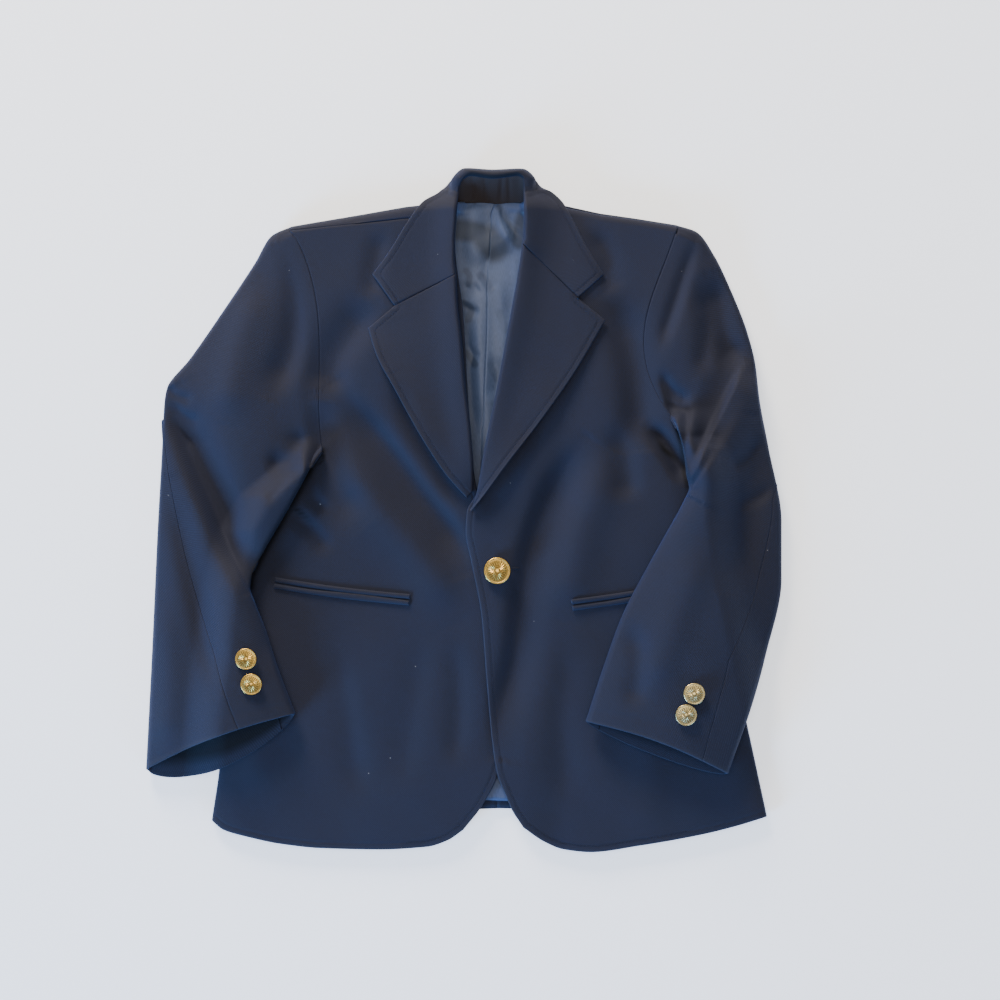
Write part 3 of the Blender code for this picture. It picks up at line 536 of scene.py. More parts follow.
def clothInputs(tree):
    # The place on the flat cloth in millimetres, and the edge value: on wool wear above 0 and painted shade
    # below 0, on satin painted dark reflections
    place = makeNode(tree, "ShaderNodeUVMap", uv_map="cloth").outputs[0]
    return place, makeNode(tree, "ShaderNodeAttribute", attribute_name="edge").outputs["Fac"]


def dressShader(tree, shader, look, colour, grain, height):
    tree.links.new(colour, shader.inputs["Base Color"])
    rough = maths(tree, "MULTIPLY_ADD", grain, look["roughSpan"], look["roughness"] - look["roughBelow"])
    tree.links.new(rough, shader.inputs["Roughness"])
    bump = makeNode(tree, "ShaderNodeBump", {"Strength": look["bump"], "Distance": look["relief"]})
    tree.links.new(height, bump.inputs["Height"])
    tree.links.new(bump.outputs[0], shader.inputs["Normal"])
    for name, value in look["shader"].items():
        shader.inputs[name].default_value = value


def woolMaterial(name, look):
    material, tree, shader = startMaterial(name, look["roughness"])
    place, edge = clothInputs(tree)
    bands = {"Scale": look["bandScale"] / look["pitch"], "Distortion": 1.6, "Detail": 2.0,
             "Detail Scale": 1.6}
    twill = makeNode(tree, "ShaderNodeTexWave", bands, bands_direction="DIAGONAL")
    tree.links.new(place, twill.inputs["Vector"])
    twillOut = twill.outputs["Fac"]
    yarn = noiseOn(tree, place, look["yarn"], 3.0, 0.65)
    mottle = noiseOn(tree, place, look["mottle"], 3.0, 0.55)
    grain = maths(tree, "MULTIPLY_ADD", twillOut, look["twillShare"],
                  maths(tree, "MULTIPLY", yarn, 1 - look["twillShare"]))
    colour = ramp(tree, grain, ((0.22, look["dark"]), (0.50, look["middle"]), (0.80, look["light"])))
    colour = mixColours(tree, maths(tree, "MULTIPLY", mottle, look["warmShare"]), colour, look["warm"])
    worn = maths(tree, "MAXIMUM", edge, 0.0)
    colour = mixColours(tree, maths(tree, "MULTIPLY", worn, look["wornShare"]), colour, look["worn"])
    # Below 0 the edge value paints shade: the cloth darkens towards the painted-shade colour
    inside = maths(tree, "MAXIMUM", maths(tree, "MULTIPLY", edge, -1.0), 0.0)
    colour = mixColours(tree, maths(tree, "MINIMUM", inside, look["insideMost"]), colour, look["inside"])
    speck = makeNode(tree, "ShaderNodeTexVoronoi", {"Scale": look["lintScale"]})
    tree.links.new(place, speck.inputs["Vector"])
    chance = makeNode(tree, "ShaderNodeSeparateColor")
    tree.links.new(speck.outputs["Color"], chance.inputs[0])
    isLint = maths(tree, "MULTIPLY", maths(tree, "LESS_THAN", speck.outputs["Distance"], look["lintSize"]),
                   maths(tree, "GREATER_THAN", chance.outputs[0], 1 - look["lintChance"]))
    colour = mixColours(tree, maths(tree, "MULTIPLY", isLint, look["lintShare"]), colour, look["lint"])
    height = maths(tree, "ADD", maths(tree, "MULTIPLY", twillOut, 0.35), maths(tree, "MULTIPLY", yarn, 0.9))
    dressShader(tree, shader, look, colour, yarn, height)
    return material


def satinMaterial(name, look):
    material, tree, shader = startMaterial(name, look["roughness"])
    place, shade = clothInputs(tree)
    stretch = makeNode(tree, "ShaderNodeMapping", {"Scale": look["stretch"]})
    tree.links.new(place, stretch.inputs["Vector"])
    threads = noiseOn(tree, stretch.outputs[0], look["threads"], 3.0, 0.6)
    cloudy = noiseOn(tree, place, look["clouds"], 2.0, 0.5)
    colour = ramp(tree, threads, ((0.3, look["dark"]), (0.7, look["light"])))
    colour = mixColours(tree, maths(tree, "MULTIPLY", cloudy, look["coolShare"]), colour, look["cool"])
    colour = mixColours(tree, maths(tree, "MULTIPLY", shade, look["shadeShare"]), colour, look["shade"])
    dressShader(tree, shader, look, colour, threads, threads)
    return material


def giltMaterial(name, look):
    material, tree, shader = startMaterial(name, look["roughness"], 1.0)
    place, low = clothInputs(tree)
    rub = noiseOn(tree, place, look["rub"], 4.0, 0.7)
    colour = ramp(tree, rub, ((0.25, look["dull"]), (0.62, look["bright"])))
    colour = mixColours(tree, maths(tree, "MULTIPLY", low, look["recessShare"]), colour, look["recess"])
    dressShader(tree, shader, look, colour, rub, rub)
    return material


def sheen(weight):
    return {"Sheen Weight": weight, "Sheen Roughness": 0.38, "Sheen Tint": (0.16, 0.34, 0.95, 1),
            "Specular IOR Level": 0.25}


woolLook = {
    "bandScale": 0.444, "pitch": 1.05, "yarn": 1.7, "mottle": 0.035, "twillShare": 0.26, "warmShare": 0.5,
    "wornShare": 0.30, "insideMost": 0.96, "lintScale": 0.055, "lintSize": 0.024, "lintChance": 0.18,
    "lintShare": 0.55, "roughness": 0.82, "roughSpan": 0.16, "roughBelow": 0.10, "bump": 0.8,
    "relief": 0.00022, "dark": (0.0060, 0.0072, 0.015), "middle": (0.0130, 0.0152, 0.031),
    "light": (0.027, 0.031, 0.058), "warm": (0.016, 0.015, 0.021), "worn": (0.034, 0.034, 0.044),
    # the near-black colour is painted shade, laid where the edge value is below 0
    "inside": (0.0012, 0.0012, 0.0018), "lint": (0.34, 0.33, 0.32), "shader": sheen(0.10),
}
threadLook = dict(woolLook, pitch=0.5, light=(0.020, 0.024, 0.046), middle=(0.010, 0.012, 0.026),
                  shader=sheen(0.2))
# A darker, warmer copy of the wool without sheen for the collar stand: painted shade
insideLook = dict(woolLook, dark=(0.014, 0.010, 0.010), middle=(0.030, 0.021, 0.019),
                  light=(0.052, 0.040, 0.038), warm=(0.034, 0.023, 0.018), shader=sheen(0.0))
satinLook = {
    "stretch": (1.0, 0.06, 1.0), "threads": 4.0, "clouds": 0.06, "coolShare": 0.6, "shadeShare": 0.86,
    "roughness": 0.48, "roughSpan": 0.12, "roughBelow": 0.06, "bump": 0.16, "relief": 0.00012,
    "dark": (0.036, 0.052, 0.094), "light": (0.084, 0.110, 0.196),
    "cool": (0.052, 0.084, 0.182), "shade": (0.009, 0.015, 0.030),
    "shader": {"Anisotropic": 0.3, "Sheen Weight": 0.25, "Sheen Tint": (0.45, 0.65, 1.0, 1),
               "Specular IOR Level": 0.42},
}
giltLook = {
    "rub": 1.6, "recessShare": 0.75,
    "roughness": 0.28, "roughSpan": 0.22, "roughBelow": 0.08, "bump": 0.2, "relief": 0.0001,
    "dull": (0.42, 0.24, 0.05), "bright": (0.82, 0.52, 0.13), "recess": (0.08, 0.04, 0.01), "shader": {},
}
paleGiltLook = dict(giltLook, roughness=0.30, dull=(0.40, 0.29, 0.10), bright=(0.74, 0.58, 0.27),
                    recess=(0.08, 0.05, 0.02))

wool = woolMaterial("navyTwill", woolLook)
threadStuff = woolMaterial("navyThread", threadLook)
shadedWool = woolMaterial("navyTwillShadedStand", insideLook)
satin = satinMaterial("blueSatin", satinLook)
gilt = giltMaterial("gilt", giltLook)
paleGilt = giltMaterial("paleGilt", paleGiltLook)
print("materials made")


# Meshes


def toWorld(points):
    return (np.asarray(points, float) - (*planCentre, 0.0)) * metresPerUnit


def meshData(name, mesh, material):
    data = bpy.data.meshes.new(name)
    mesh.to_mesh(data)
    mesh.free()
    data.materials.append(material)
    return data


def finishPiece(name, mesh, material, nodes):
    data = meshData(name, mesh, material)
    piece = bpy.data.objects.new(name, data)
    bpy.context.scene.collection.objects.link(piece)
    data.shade_smooth()
    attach(piece, "root")
    if nodes:
        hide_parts(*nodes)
    return piece


def clothPiece(name, points, uv, nodes, wall=clothWall, material=wool, flip=False,
               edge=None):
    # points is a grid of rows and columns in millimetres, uv the same grid laid flat
    rows, columns = points.shape[:2]
    world = toWorld(points)
    mesh = bmesh.new()
    bmesh.ops.create_grid(mesh, x_segments=columns - 1, y_segments=rows - 1, size=0.5)
    layer = mesh.loops.layers.uv.new("cloth")
    # The edge layer holds wear above 0 and painted shade below 0 on wool, and painted dark reflections on
    # satin
    worn = mesh.verts.layers.float.new("edge")
    for vert in mesh.verts:
        j = round((vert.co.x + 0.5) * (columns - 1))
        i = round((vert.co.y + 0.5) * (rows - 1))
        vert.co = world[i, j]
        vert.index = i * columns + j
        if edge is not None:
            vert[worn] = edge[i, j]
    for face in mesh.faces:
        for loop in face.loops:
            i, j = divmod(loop.vert.index, columns)
            loop[layer].uv = uv[i, j]
    if flip:
        bmesh.ops.reverse_faces(mesh, faces=mesh.faces)
    area = sum(face.calc_area() for face in mesh.faces)
    piece = finishPiece(name, mesh, material, nodes)
    skin = piece.modifiers.new("wall", "SOLIDIFY")
    skin.thickness = wall * metresPerUnit
    skin.offset = -1
    print(f"{name}: {rows} by {columns} points, {area:.4f} square metres")
    return piece


stitch = {"pitch": 2.7, "size": 1.8, "radius": 0.26, "sunk": 0.2, "middleUp": 0.15, "endsIn": 0.1}


def stitchRow(path):
    # Stitches along a line of points that lie on the cloth, as the two ends of each
    path = np.asarray(path, float)
    along = lengthAlong(path)
    starts = np.arange(0, along[-1] - stitch["size"], stitch["pitch"])
    ends = [np.stack([np.interp(at, along, path[:, k]) for k in range(3)], -1)
            for at in (starts, starts + stitch["size"])]
    return list(zip(*ends))


def insetPath(points, distance, inset, rows):
    # The line at this distance from an edge, read from the cloth's own points row by row
    found = np.array([points[i, int(np.argmin(np.abs(distance[i] - inset)))] for i in rows])
    smooth = found.copy()
    smooth[1:-1] = (found[:-2] + 2 * found[1:-1] + found[2:]) / 4
    return smooth


def offsetPath(border, inset, top):
    # A line beside a border of plan points, on the height that top gives
    run = np.gradient(border, axis=0)
    run /= np.linalg.norm(run, axis=1)[:, None]
    plan = border + np.column_stack([-run[:, 1], run[:, 0]]) * inset
    return np.column_stack([plan, top(plan[:, 0], plan[:, 1]) - stitch["sunk"]])


def stitchMesh(name, ends, radius=stitch["radius"]):
    # One mesh of little rounded stitches, each pulled in at its ends
    mesh = bmesh.new()
    for a, b in ends:
        run = b - a
        size = Vector((radius, radius, float(np.linalg.norm(run)) / 2 + stitch["endsIn"]))
        middle = Vector((a + b) / 2) + Vector((0, 0, stitch["middleUp"]))
        place = Matrix.LocRotScale(middle, Vector(run).to_track_quat("Z", "Y"), size)
        bmesh.ops.create_uvsphere(mesh, u_segments=6, v_segments=6, radius=1.0, matrix=place)
    layer = mesh.loops.layers.uv.new("cloth")
    for face in mesh.faces:
        for loop in face.loops:
            loop[layer].uv = loop.vert.co.xy
    for vert in mesh.verts:
        vert.co = toWorld(vert.co)
    return finishPiece(name, mesh, threadStuff, [])


# Body


def sleevePlan(table, side, station, share):
    row = rowAt(table, sleeveColumns, station)
    outer = pointAt(row, "outer")
    chord = pointAt(row, "inner") - outer
    width = np.hypot(chord[..., 0], chord[..., 1])
    normal = -side * np.stack([-chord[..., 1], chord[..., 0]], -1) / width[..., None]
    bow = row["bow"] * np.sin(np.pi * share) * (1 + row["skew"] * (share - 0.5))
    return outer + chord * share[..., None] + normal * bow[..., None], width, row


def sideEdge(side, tuck):
    # A side edge from hem to armpit, then the armhole, which tucks under the sleeve's head
    share = np.linspace(0, 1, 11)
    point, _, _ = sleevePlan(sides[side]["sleeve"], side, np.zeros_like(share), 1 - share)
    start, growth = body["armholeGap"]
    point[..., 0] -= side * tuck * (start + growth * share**4)
    return [*sides[side]["side"], *(tuple(p) for p in point)]


def paintedFrontShade(side, x, y):
    # Painted shade on the front where the sleeve lies over it, and in its deep folds
    own = sides[side]
    line = [row[3:5] for row in own["sleeve"] if row[0] < own["tuckShadeTo"]]
    dark = body["tuckShade"] * bell(lineDistance(line, x, y)[0], own["tuckShadeWidth"])
    ends = body["foldEnds"]
    for amount, wide, *fold in bodyShades:
        distance, _, where = lineDistance(fold, x, y)
        fade = ends + (1 - ends) * np.sin(np.pi * where)
        dark = np.maximum(dark, amount * bell(distance, wide) * fade)
    return dark


def buildFront(side):
    own = sides[side]
    closing = list(own["closing"])
    outer = sideEdge(side, body["frontTuck"])

    def seamY(x):
        return shoulderY(x) - forwardOf(x) - seamGap

    for line in (outer, closing):
        x = line[-1][0]
        line[-1] = (x, float(seamY(x)))

    def upper(t):
        x = outer[-1][0] + t * (closing[-1][0] - outer[-1][0])
        return np.stack([x, seamY(x)], -1)

    plan = patch(lambda t: curveAt(own["hem"], t), upper, lambda t: curveAt(outer, t),
                 lambda t: curveAt(closing, t), stops(*body["frontColumns"]), stops(*body["frontRows"]))
    x, y = plan[..., 0], plan[..., 1]
    fine = np.linspace(0, 1, 90)
    border = np.vstack([curveAt(own["hem"], fine), curveAt(closing, fine)[1:]])
    d, _, _ = lineDistance(border, x, y)
    toSide, _, _ = lineDistance(curveAt(outer, np.linspace(0, 1, 60)), x, y)
    z = topOf(side)(x, y) + rim(d, body["stitchInset"]) + seamRound(toSide, "side")
    z = z + seamRound(np.abs(y - seamY(x)), "shoulder")
    # The front's colour takes wear at its rims, and painted shade under the sleeve and in its deep folds
    piece = clothPiece(f"{own['word']}FrontCloth", np.dstack([x, y, z]), plan, [f"{own['word']}_front"],
                       flip=side > 0, edge=wornRim(d) - paintedFrontShade(side, x, y))
    return piece, border


def buildBack(side):
    shoulderFold, turnRows = body["shoulderFold"], round(body["backTurnRows"] * detail)
    middleX = body["backSeam"] - side * body["backSeamGap"]
    half = sorted([p for p in backHem if (p[0] - body["backSeam"]) * side > 0], key=lambda p: -p[0] * side)
    half += [(middleX, body["backSeamFoot"])]
    outer = sideEdge(side, body["backTuck"])

    def foldFoot(x):
        return np.stack([x, shoulderY(x) - np.minimum(shoulderFold, neckFold(x) / 2)], -1)

    tip = outer[-1][0]
    outer[-1] = tuple(foldFoot(np.array(float(tip))))
    middle = [(middleX, body["backSeamFoot"]), tuple(foldFoot(np.array(float(middleX))))]
    u, v = stops((1.0, 70)), stops((1.0, 130))
    xTop = tip + u * (middleX - tip)
    plan = patch(lambda t: curveAt(half, t), lambda t: foldFoot(tip + t * (middleX - tip)),
                 lambda t: curveAt(outer, t), lambda t: curveAt(middle, t), u, v)
    # The left half lies a hair higher than the right one
    ridge = body["seamRidge"] * bell(np.abs(plan[..., 0] - middleX), 0.8) + (0.06 if side > 0 else 0.0)
    flat = np.dstack([plan, ridge])
    fold, forward = neckFold(xTop), forwardOf(xTop)
    reach = np.minimum(shoulderFold, fold / 2)
    standing = ease(2, 8, fold)
    end = (np.pi - np.arcsin(1 - np.minimum(forward / reach, 1))) * standing
    rows = [flat]

    def addRow(y, z):
        rows.append(np.dstack([xTop[None], y[None], z[None]]))

    for k in range(1, turnRows + 1):
        angle = end * k / turnRows
        addRow(shoulderY(xTop) - reach + reach * np.sin(angle) + 0.12 * k * (1 - standing),
               fold / 2 * (1 - np.cos(angle)) + flat[-1, :, 2] * (1 - k / turnRows))
    # Past the fold a strip runs forward over the shoulder to the shoulder seam
    strip = forward > reach
    last = rows[turnRows][0]
    seamY = shoulderY(xTop) - forward
    seamZ = rightTop(xTop, seamY)
    for k in range(1, body["stripRows"] + 1):
        t = k / body["stripRows"]
        onStrip = strip & (fold > 8)
        addRow(np.where(onStrip, last[:, 1] + (seamY - last[:, 1]) * t, last[:, 1] - 0.02 * k),
               np.where(onStrip, last[:, 2] + (seamZ - last[:, 2]) * t, last[:, 2]) - 0.5 * strip * (t == 1))
    points = np.vstack(rows)
    uv = np.dstack([points[..., 0], np.broadcast_to(lengthAlong(points[:, 30])[:, None], points.shape[:2])])
    word = sides[side]["word"]
    return clothPiece(f"{word}BackCloth", points, uv, [f"{word}_back"], flip=side < 0)


lining = {
    "columns": ((0.42, 66), (1.0, 22)), "rows": ((0.06, 10), (0.5, 40), (1.0, 150)), "width": 105,
    "foot": -221.5, "footDrop": 4, "neckDrop": 5.3, "above": 0.2, "waveMean": 2.0, "wave": 0.8,
    "waveLong": (25, 55), "pleatLift": 1.0, "pleatGap": 0.8, "underPleat": 0.5, "cut": (-2.4, 2.6),
}


def buildLining(side):
    u, v = np.meshgrid(stops(*lining["columns"]), stops(*lining["rows"]))
    neckX = body["neckMiddle"]
    x = neckX + side * lining["width"] * u
    yFoot = lining["foot"] - lining["footDrop"] * u
    yHead = shoulderY(x) + 0.3 - (body["shoulderFold"] + lining["neckDrop"]) * ease(26, 38, fromNeck(x))
    y = yFoot + (yHead - yFoot) * v
    seam = between(pleatLine, y, 1, 0)
    x = x + (seam - neckX + (0 if side > 0 else lining["pleatGap"])) * (1 - u) ** 2
    shown = bell(x - neckX, 36) * ease(0, 60, y) * (1 - ease(226, 236, y))
    acrossLong, alongLong = lining["waveLong"]
    wave = lining["waveMean"] + lining["wave"] * np.cos(2 * np.pi * (x - neckX) / acrossLong + y / alongLong)
    foot = clothWall + seamGap + liningWall
    z = foot + lining["above"] + (wave - np.clip(creases(liningCreases, x, y), *lining["cut"])) * shown
    past = x - seam
    if side > 0:
        z = z + lining["pleatLift"] * bell(past, 9) * ease(60, 110, y) * shown
    else:
        z = z - lining["underPleat"] * (past > -0.1)
    z = z + seamRound(np.abs(past), "pleat")
    toHead = (shoulderY(x) - y) / 9
    z = z + neckFold(x) * quarter(1 - toHead) * (1 - ease(32, 38, fromNeck(x)))
    z = np.maximum(z, foot + 0.1)
    # Painted dark reflections on the satin
    shade = np.zeros(x.shape)
    for amount, wide, *line in liningShades:
        near, _, _ = lineDistance(curveAt(line, np.linspace(0, 1, 12)), x, y)
        shade = np.maximum(shade, amount * (1 - ease(0.6 * wide, 1.3 * wide, near)))
    word = sides[side]["word"]
    return clothPiece(f"{word}LiningCloth", np.dstack([x, y, z]), np.dstack([x, y]), [f"{word}_lining"],
                      liningWall, satin, flip=side < 0, edge=shade)


print("building the body")
rightBack, leftBack = buildBack(-1), buildBack(1)
rightLining, leftLining = buildLining(-1), buildLining(1)
rightFront, rightBorder = buildFront(-1)
leftFront, leftBorder = buildFront(1)


# Lapels and collar

leaf = {"turn": 2.6, "turnShare": 0.3, "turnRows": 9, "foot": 0.4, "rollLift": 5.0, "stitchInset": 4.2}


def leafPlan(table, columns, v, corners):
    # A leaf's roll line and edge row by row, its width, its direction and the reach of its turn
    row = rowAt(table, columns, v, corners)
    roll, edge = pointAt(row, "roll"), pointAt(row, "edge")
    width = np.hypot(*(edge - roll).T)
    turnOut = np.minimum(leaf["turn"], width * leaf["turnShare"])
    return row, roll, edge, width, (edge - roll) / width[:, None], turnOut


def leafTurn(roll, run, turnOut, low, high):
    # The turn at the roll line from underneath round to the top, row by row
    rows = round(leaf["turnRows"] * detail) + 2
    found = []
    for k in range(rows):
        angle = -math.pi / 2 + math.pi * k / rows
        plan = roll + run * (turnOut * (1 - math.cos(angle)))[:, None]
        found.append(np.column_stack([plan, (low + high) / 2 + (high - low) / 2 * math.sin(angle)]))
    return found


def leafStitches(points, distance, rows):
    third = points.shape[1] // 3
    return stitchRow(insetPath(points[:, third:], distance[:, third:], leaf["stitchInset"], rows))


lapel = {
    "rows": 165, "columns": ((0.9, 42), (1.0, 16)), "followsFront": 0.62, "rollWidth": 15, "belly": 0.6,
    "liftPower": 1.6, "peak": 0.85,
}


def buildLapel(side):
    table, top = sides[side]["lapel"], topOf(side)
    v = stopsThrough([row[0] for row in table], lapel["rows"])
    row, roll, edge, width, run, turnOut = leafPlan(table, lapelColumns, v, (lapel["peak"],))

    def high(plan, d):
        x, y = plan.T
        share, follows = d / width, lapel["followsFront"]
        lying = top(x, y) * follows + (1 - follows) * bodyHeight(y) + clothWall + layGap
        rolled = leaf["rollLift"] * bell(d, lapel["rollWidth"]) * ease(-0.1, 0.2, v)
        belly = lapel["belly"] * np.sin(np.pi * np.clip(share, 0, 1)) * ease(0.1, 0.5, v)
        return lying + rolled + row["lift"] * share**lapel["liftPower"] + belly

    start = roll + run * turnOut[:, None]
    columns = leafTurn(roll, run, turnOut, top(*start.T) + leaf["foot"], high(start, turnOut))
    for t in stops(*lapel["columns"]):
        d = turnOut + (width - turnOut) * t
        plan = roll + run * d[:, None]
        columns.append(np.column_stack([plan, high(plan, d)]))
    points = np.stack(columns, 1)
    x, y = points[..., 0], points[..., 1]
    d, _, _ = lineDistance(edge, x, y)
    gorge, _, _ = lineDistance([edge[-1], roll[-1]], x, y)
    points[..., 2] += rim(d, leaf["stitchInset"]) + seamRound(gorge, "gorge")
    across = lengthAcross(points)
    uv = np.dstack([across, np.broadcast_to(lengthAlong(points[:, -1])[:, None], across.shape)])
    word = sides[side]["word"]
    piece = clothPiece(f"{word}LapelCloth", points, uv, [f"{word}_lapel"], flip=side < 0, edge=wornRim(d))
    return piece, stitchMesh(f"{word}LapelStitches", leafStitches(points, d, range(6, len(v) - 2)))


collar = {
    "rows": 230, "columns": ((0.9, 44), (1.0, 16)), "points": (0.07, 0.93), "rise": 19.0, "drop": 6.0,
    "turnShare": 0.42, "turnDrift": 0.12, "rollWidth": 14, "behind": 2.6, "behindDrop": 3.6, "length": 330,
    "rollShade": 0.8, "stitchEnd": 0.28,
}


def buildCollar():
    v = stopsThrough([row[0] for row in collarRows], collar["rows"])
    row, roll, edge, width, run, turnOut = leafPlan(collarRows, collarColumns, v, collar["points"])
    wrap, reach = row["wrap"], edge - roll

    def surface(plan):
        x = plan[:, 0]
        y = np.minimum(plan[:, 1], shoulderY(x) - body["shoulderFold"])
        return np.where(x < body["neckMiddle"], rightTop(x, y), leftTop(x, y))

    def onFront(plan, d):
        drop = collar["drop"] * ease(0, 16, plan[:, 1] - shoulderY(plan[:, 0]) + body["shoulderFold"])
        return surface(plan) + clothWall + layGap - drop + leaf["rollLift"] * bell(d, collar["rollWidth"])

    def wrapped(front, behind):
        return (1 - wrap[:, None]) * front + wrap[:, None] * behind

    start = roll + run * turnOut[:, None]
    turn = leafTurn(roll, run, turnOut, surface(start) + leaf["foot"], onFront(start, turnOut))
    columns = []
    for k, front in enumerate(turn):
        angle = k / len(turn) * math.pi / 2
        height = collar["rise"] - collar["behindDrop"] * (1 - math.sin(angle))
        behind = np.column_stack([roll[:, 0], roll[:, 1] - collar["behind"] * math.cos(angle),
                                  np.full(len(v), height)])
        columns.append(wrapped(front, behind))
    for s in stops(*collar["columns"]):
        d = turnOut + (width - turnOut) * s
        plan = roll + run * d[:, None]
        front = np.column_stack([plan, onFront(plan, d)])
        # Behind the neck the fall goes out, down and round, then runs flat to the neck seam
        turned = min(s / collar["turnShare"], 1.0)
        under = max(0.0, (s - collar["turnShare"]) / (1 - collar["turnShare"]))
        bulge = math.sin(turned * math.pi) + np.zeros(len(v))
        if turned > 0.5:
            bulge += (1 - bulge) * np.minimum(1, (1 - wrap) / 0.3)
        bulge *= 1 - under
        drift = collar["turnDrift"] * turned + (1 - collar["turnDrift"]) * under
        behind = np.column_stack([
            roll[:, 0] + reach[:, 0] * drift + row["outX"] * bulge,
            roll[:, 1] + reach[:, 1] * under + row["outY"] * bulge,
            np.full(len(v), collar["rise"] / 2 * (1 + math.cos(turned * math.pi))),
        ])
        columns.append(wrapped(front, behind))
    points = np.stack(columns, 1)
    x, y = points[..., 0], points[..., 1]
    d, _, _ = lineDistance(edge, x, y)
    free = np.broadcast_to((1 - wrap)[:, None], x.shape)
    points[..., 2] += rim(d, leaf["stitchInset"]) * free
    for end in (0, -1):
        gorge, _, _ = lineDistance([edge[end], roll[end]], x, y)
        points[..., 2] += seamRound(gorge, "gorge")
    points[..., 2] = np.maximum(points[..., 2], 0.05)
    uv = np.dstack([np.broadcast_to(v[:, None] * collar["length"], x.shape), lengthAcross(points)])
    # Painted shade darkens the collar where it rolls round behind the neck
    inRoll = 1 - ease(len(turn) - 3, len(turn) + 4, np.arange(len(columns)))
    rollShade = collar["rollShade"] * (1 - free) * inRoll[None]
    piece = clothPiece("collarCloth", points, uv, ["collar"], flip=True, edge=wornRim(d) * free - rollShade)
    sewn = []
    end = collar["stitchEnd"]
    for rows in (np.flatnonzero(v < end)[2:], np.flatnonzero(v > 1 - end)[:-2]):
        sewn += leafStitches(points, d, rows)
    return piece, stitchMesh("collarStitches", sewn)


# Wrinkles are place along x, depth, half width and lean
stand = {
    "columns": 90, "rows": 26, "below": 1.1, "power": 1.2,
    "wrinkles": ((6, 0.8, 2.2, 1.0), (16, 0.9, 1.8, -1.2), (28, 0.9, 2.0, 0.8), (34, 0.6, 1.8, -0.6)),
}


def buildStand():
    u, v = stops((1.0, stand["columns"])), stops((1.0, stand["rows"]))[:, None]
    foot, head = curveAt(standFoot, u), curveAt(standTop, u)
    plan = foot[None] + (head - foot)[None] * v[..., None]
    low = 2 * clothWall + liningWall
    wrinkle = sum(size * bell(plan[..., 0] - at - lean * (v - 0.5) * 2, wide)
                  for at, size, wide, lean in stand["wrinkles"])
    z = low + (collar["rise"] - stand["below"] - low) * v ** stand["power"]
    z = z - wrinkle * np.sin(np.pi * np.clip(v, 0, 1)) ** 0.7
    return clothPiece("collarStandCloth", np.dstack([plan, z]), plan, ["collar_stand"], material=shadedWool)


print("building the lapels and the collar")
rightLapelPiece, rightLapelSeam = buildLapel(-1)
leftLapelPiece, leftLapelSeam = buildLapel(1)
collarPiece, collarSeam = buildCollar()
standPiece = buildStand()


# Sleeves

sleeve = {
    "rows": ((0.02, 8), (0.99, 176), (1.0, 7)), "topColumns": 128, "underColumns": 104, "bend": 0.07,
    "clear": 1.4, "onBody": (-30, 4), "pastArmpit": (-12, 12), "forearmSeam": 0.12, "seamOverlap": 0.0018,
    # the fold value is the strength of painted shade along the inner fold
    "length": 420, "cuffLength": 330, "cuffHem": 9.0, "ripple": 1.3, "foldShade": 0.88,
}


def bodyRest(x, y):
    # What a sleeve lies on: the body with its pocket welts, and the floor beside it
    armpit = np.where(np.asarray(x) < 0, rightSleeve[0][4], leftSleeve[0][4])
    onBody = ease(*sleeve["onBody"], inBody(x, y)) * (1 - ease(*sleeve["pastArmpit"], y - armpit))
    return (bodyHeight(y) + sleeve["clear"] + layGap + clothWall + weltWall) * onBody


def sleevePoint(side, station, c):
    # c runs round the sleeve: 0 at the outer fold, 0..1 on the upper side, 1..2 and -1..0 underneath
    table, bend = sides[side]["sleeve"], sleeve["bend"]
    lower = (c < 0) | (c > 1)
    share = np.where(c <= 1, np.abs(c), 2 - c)
    nearOuter, nearInner = share < bend, share > 1 - bend
    angle = np.where(nearOuter, share, np.where(nearInner, 1 - share, bend)) / bend * np.pi / 2
    foldShare, rise = 1 - np.cos(angle), np.sin(angle)
    _, width, row = sleevePlan(table, side, station, np.full_like(station, 0.5))
    halfFold = row["fold"] / 2
    radius = halfFold / width
    middle = radius + (1 - 2 * radius) * (share - bend) / (1 - 2 * bend)
    across = np.where(nearOuter, radius * foldShare, np.where(nearInner, 1 - radius * foldShare, middle))
    plan, _, _ = sleevePlan(table, side, station, across)
    x, y = plan[..., 0], plan[..., 1]
    rest = bodyRest(x, y)
    arch = np.sin(np.pi * np.clip(across, 0, 1))
    lip = row["lip"] * rise * arch ** 0.7
    cut = creases(sides[side]["sleeveCreases"], x, y) * ease(0.0, 0.06, station)
    soft = ripple(x + 40, y - 25, sleeve["ripple"]) * ease(0.0, 0.15, station) * arch
    own = rest + halfFold * (1 + rise) + (row["crown"] * arch ** 0.8 - cut + soft) * rise
    onFold = shoulderY(x) - body["shoulderFold"]
    armholeTop = np.where(y < onFold, rightTop(x, np.minimum(y, onFold)), own)
    zUpper = own + (armholeTop - own) * (1 - ease(0.0, 0.1, station)) * rise
    zLower = rest + halfFold * (1 - rise)
    return np.stack([x, np.where(lower, y - lip, y), np.where(lower, zLower, zUpper)], -1), width


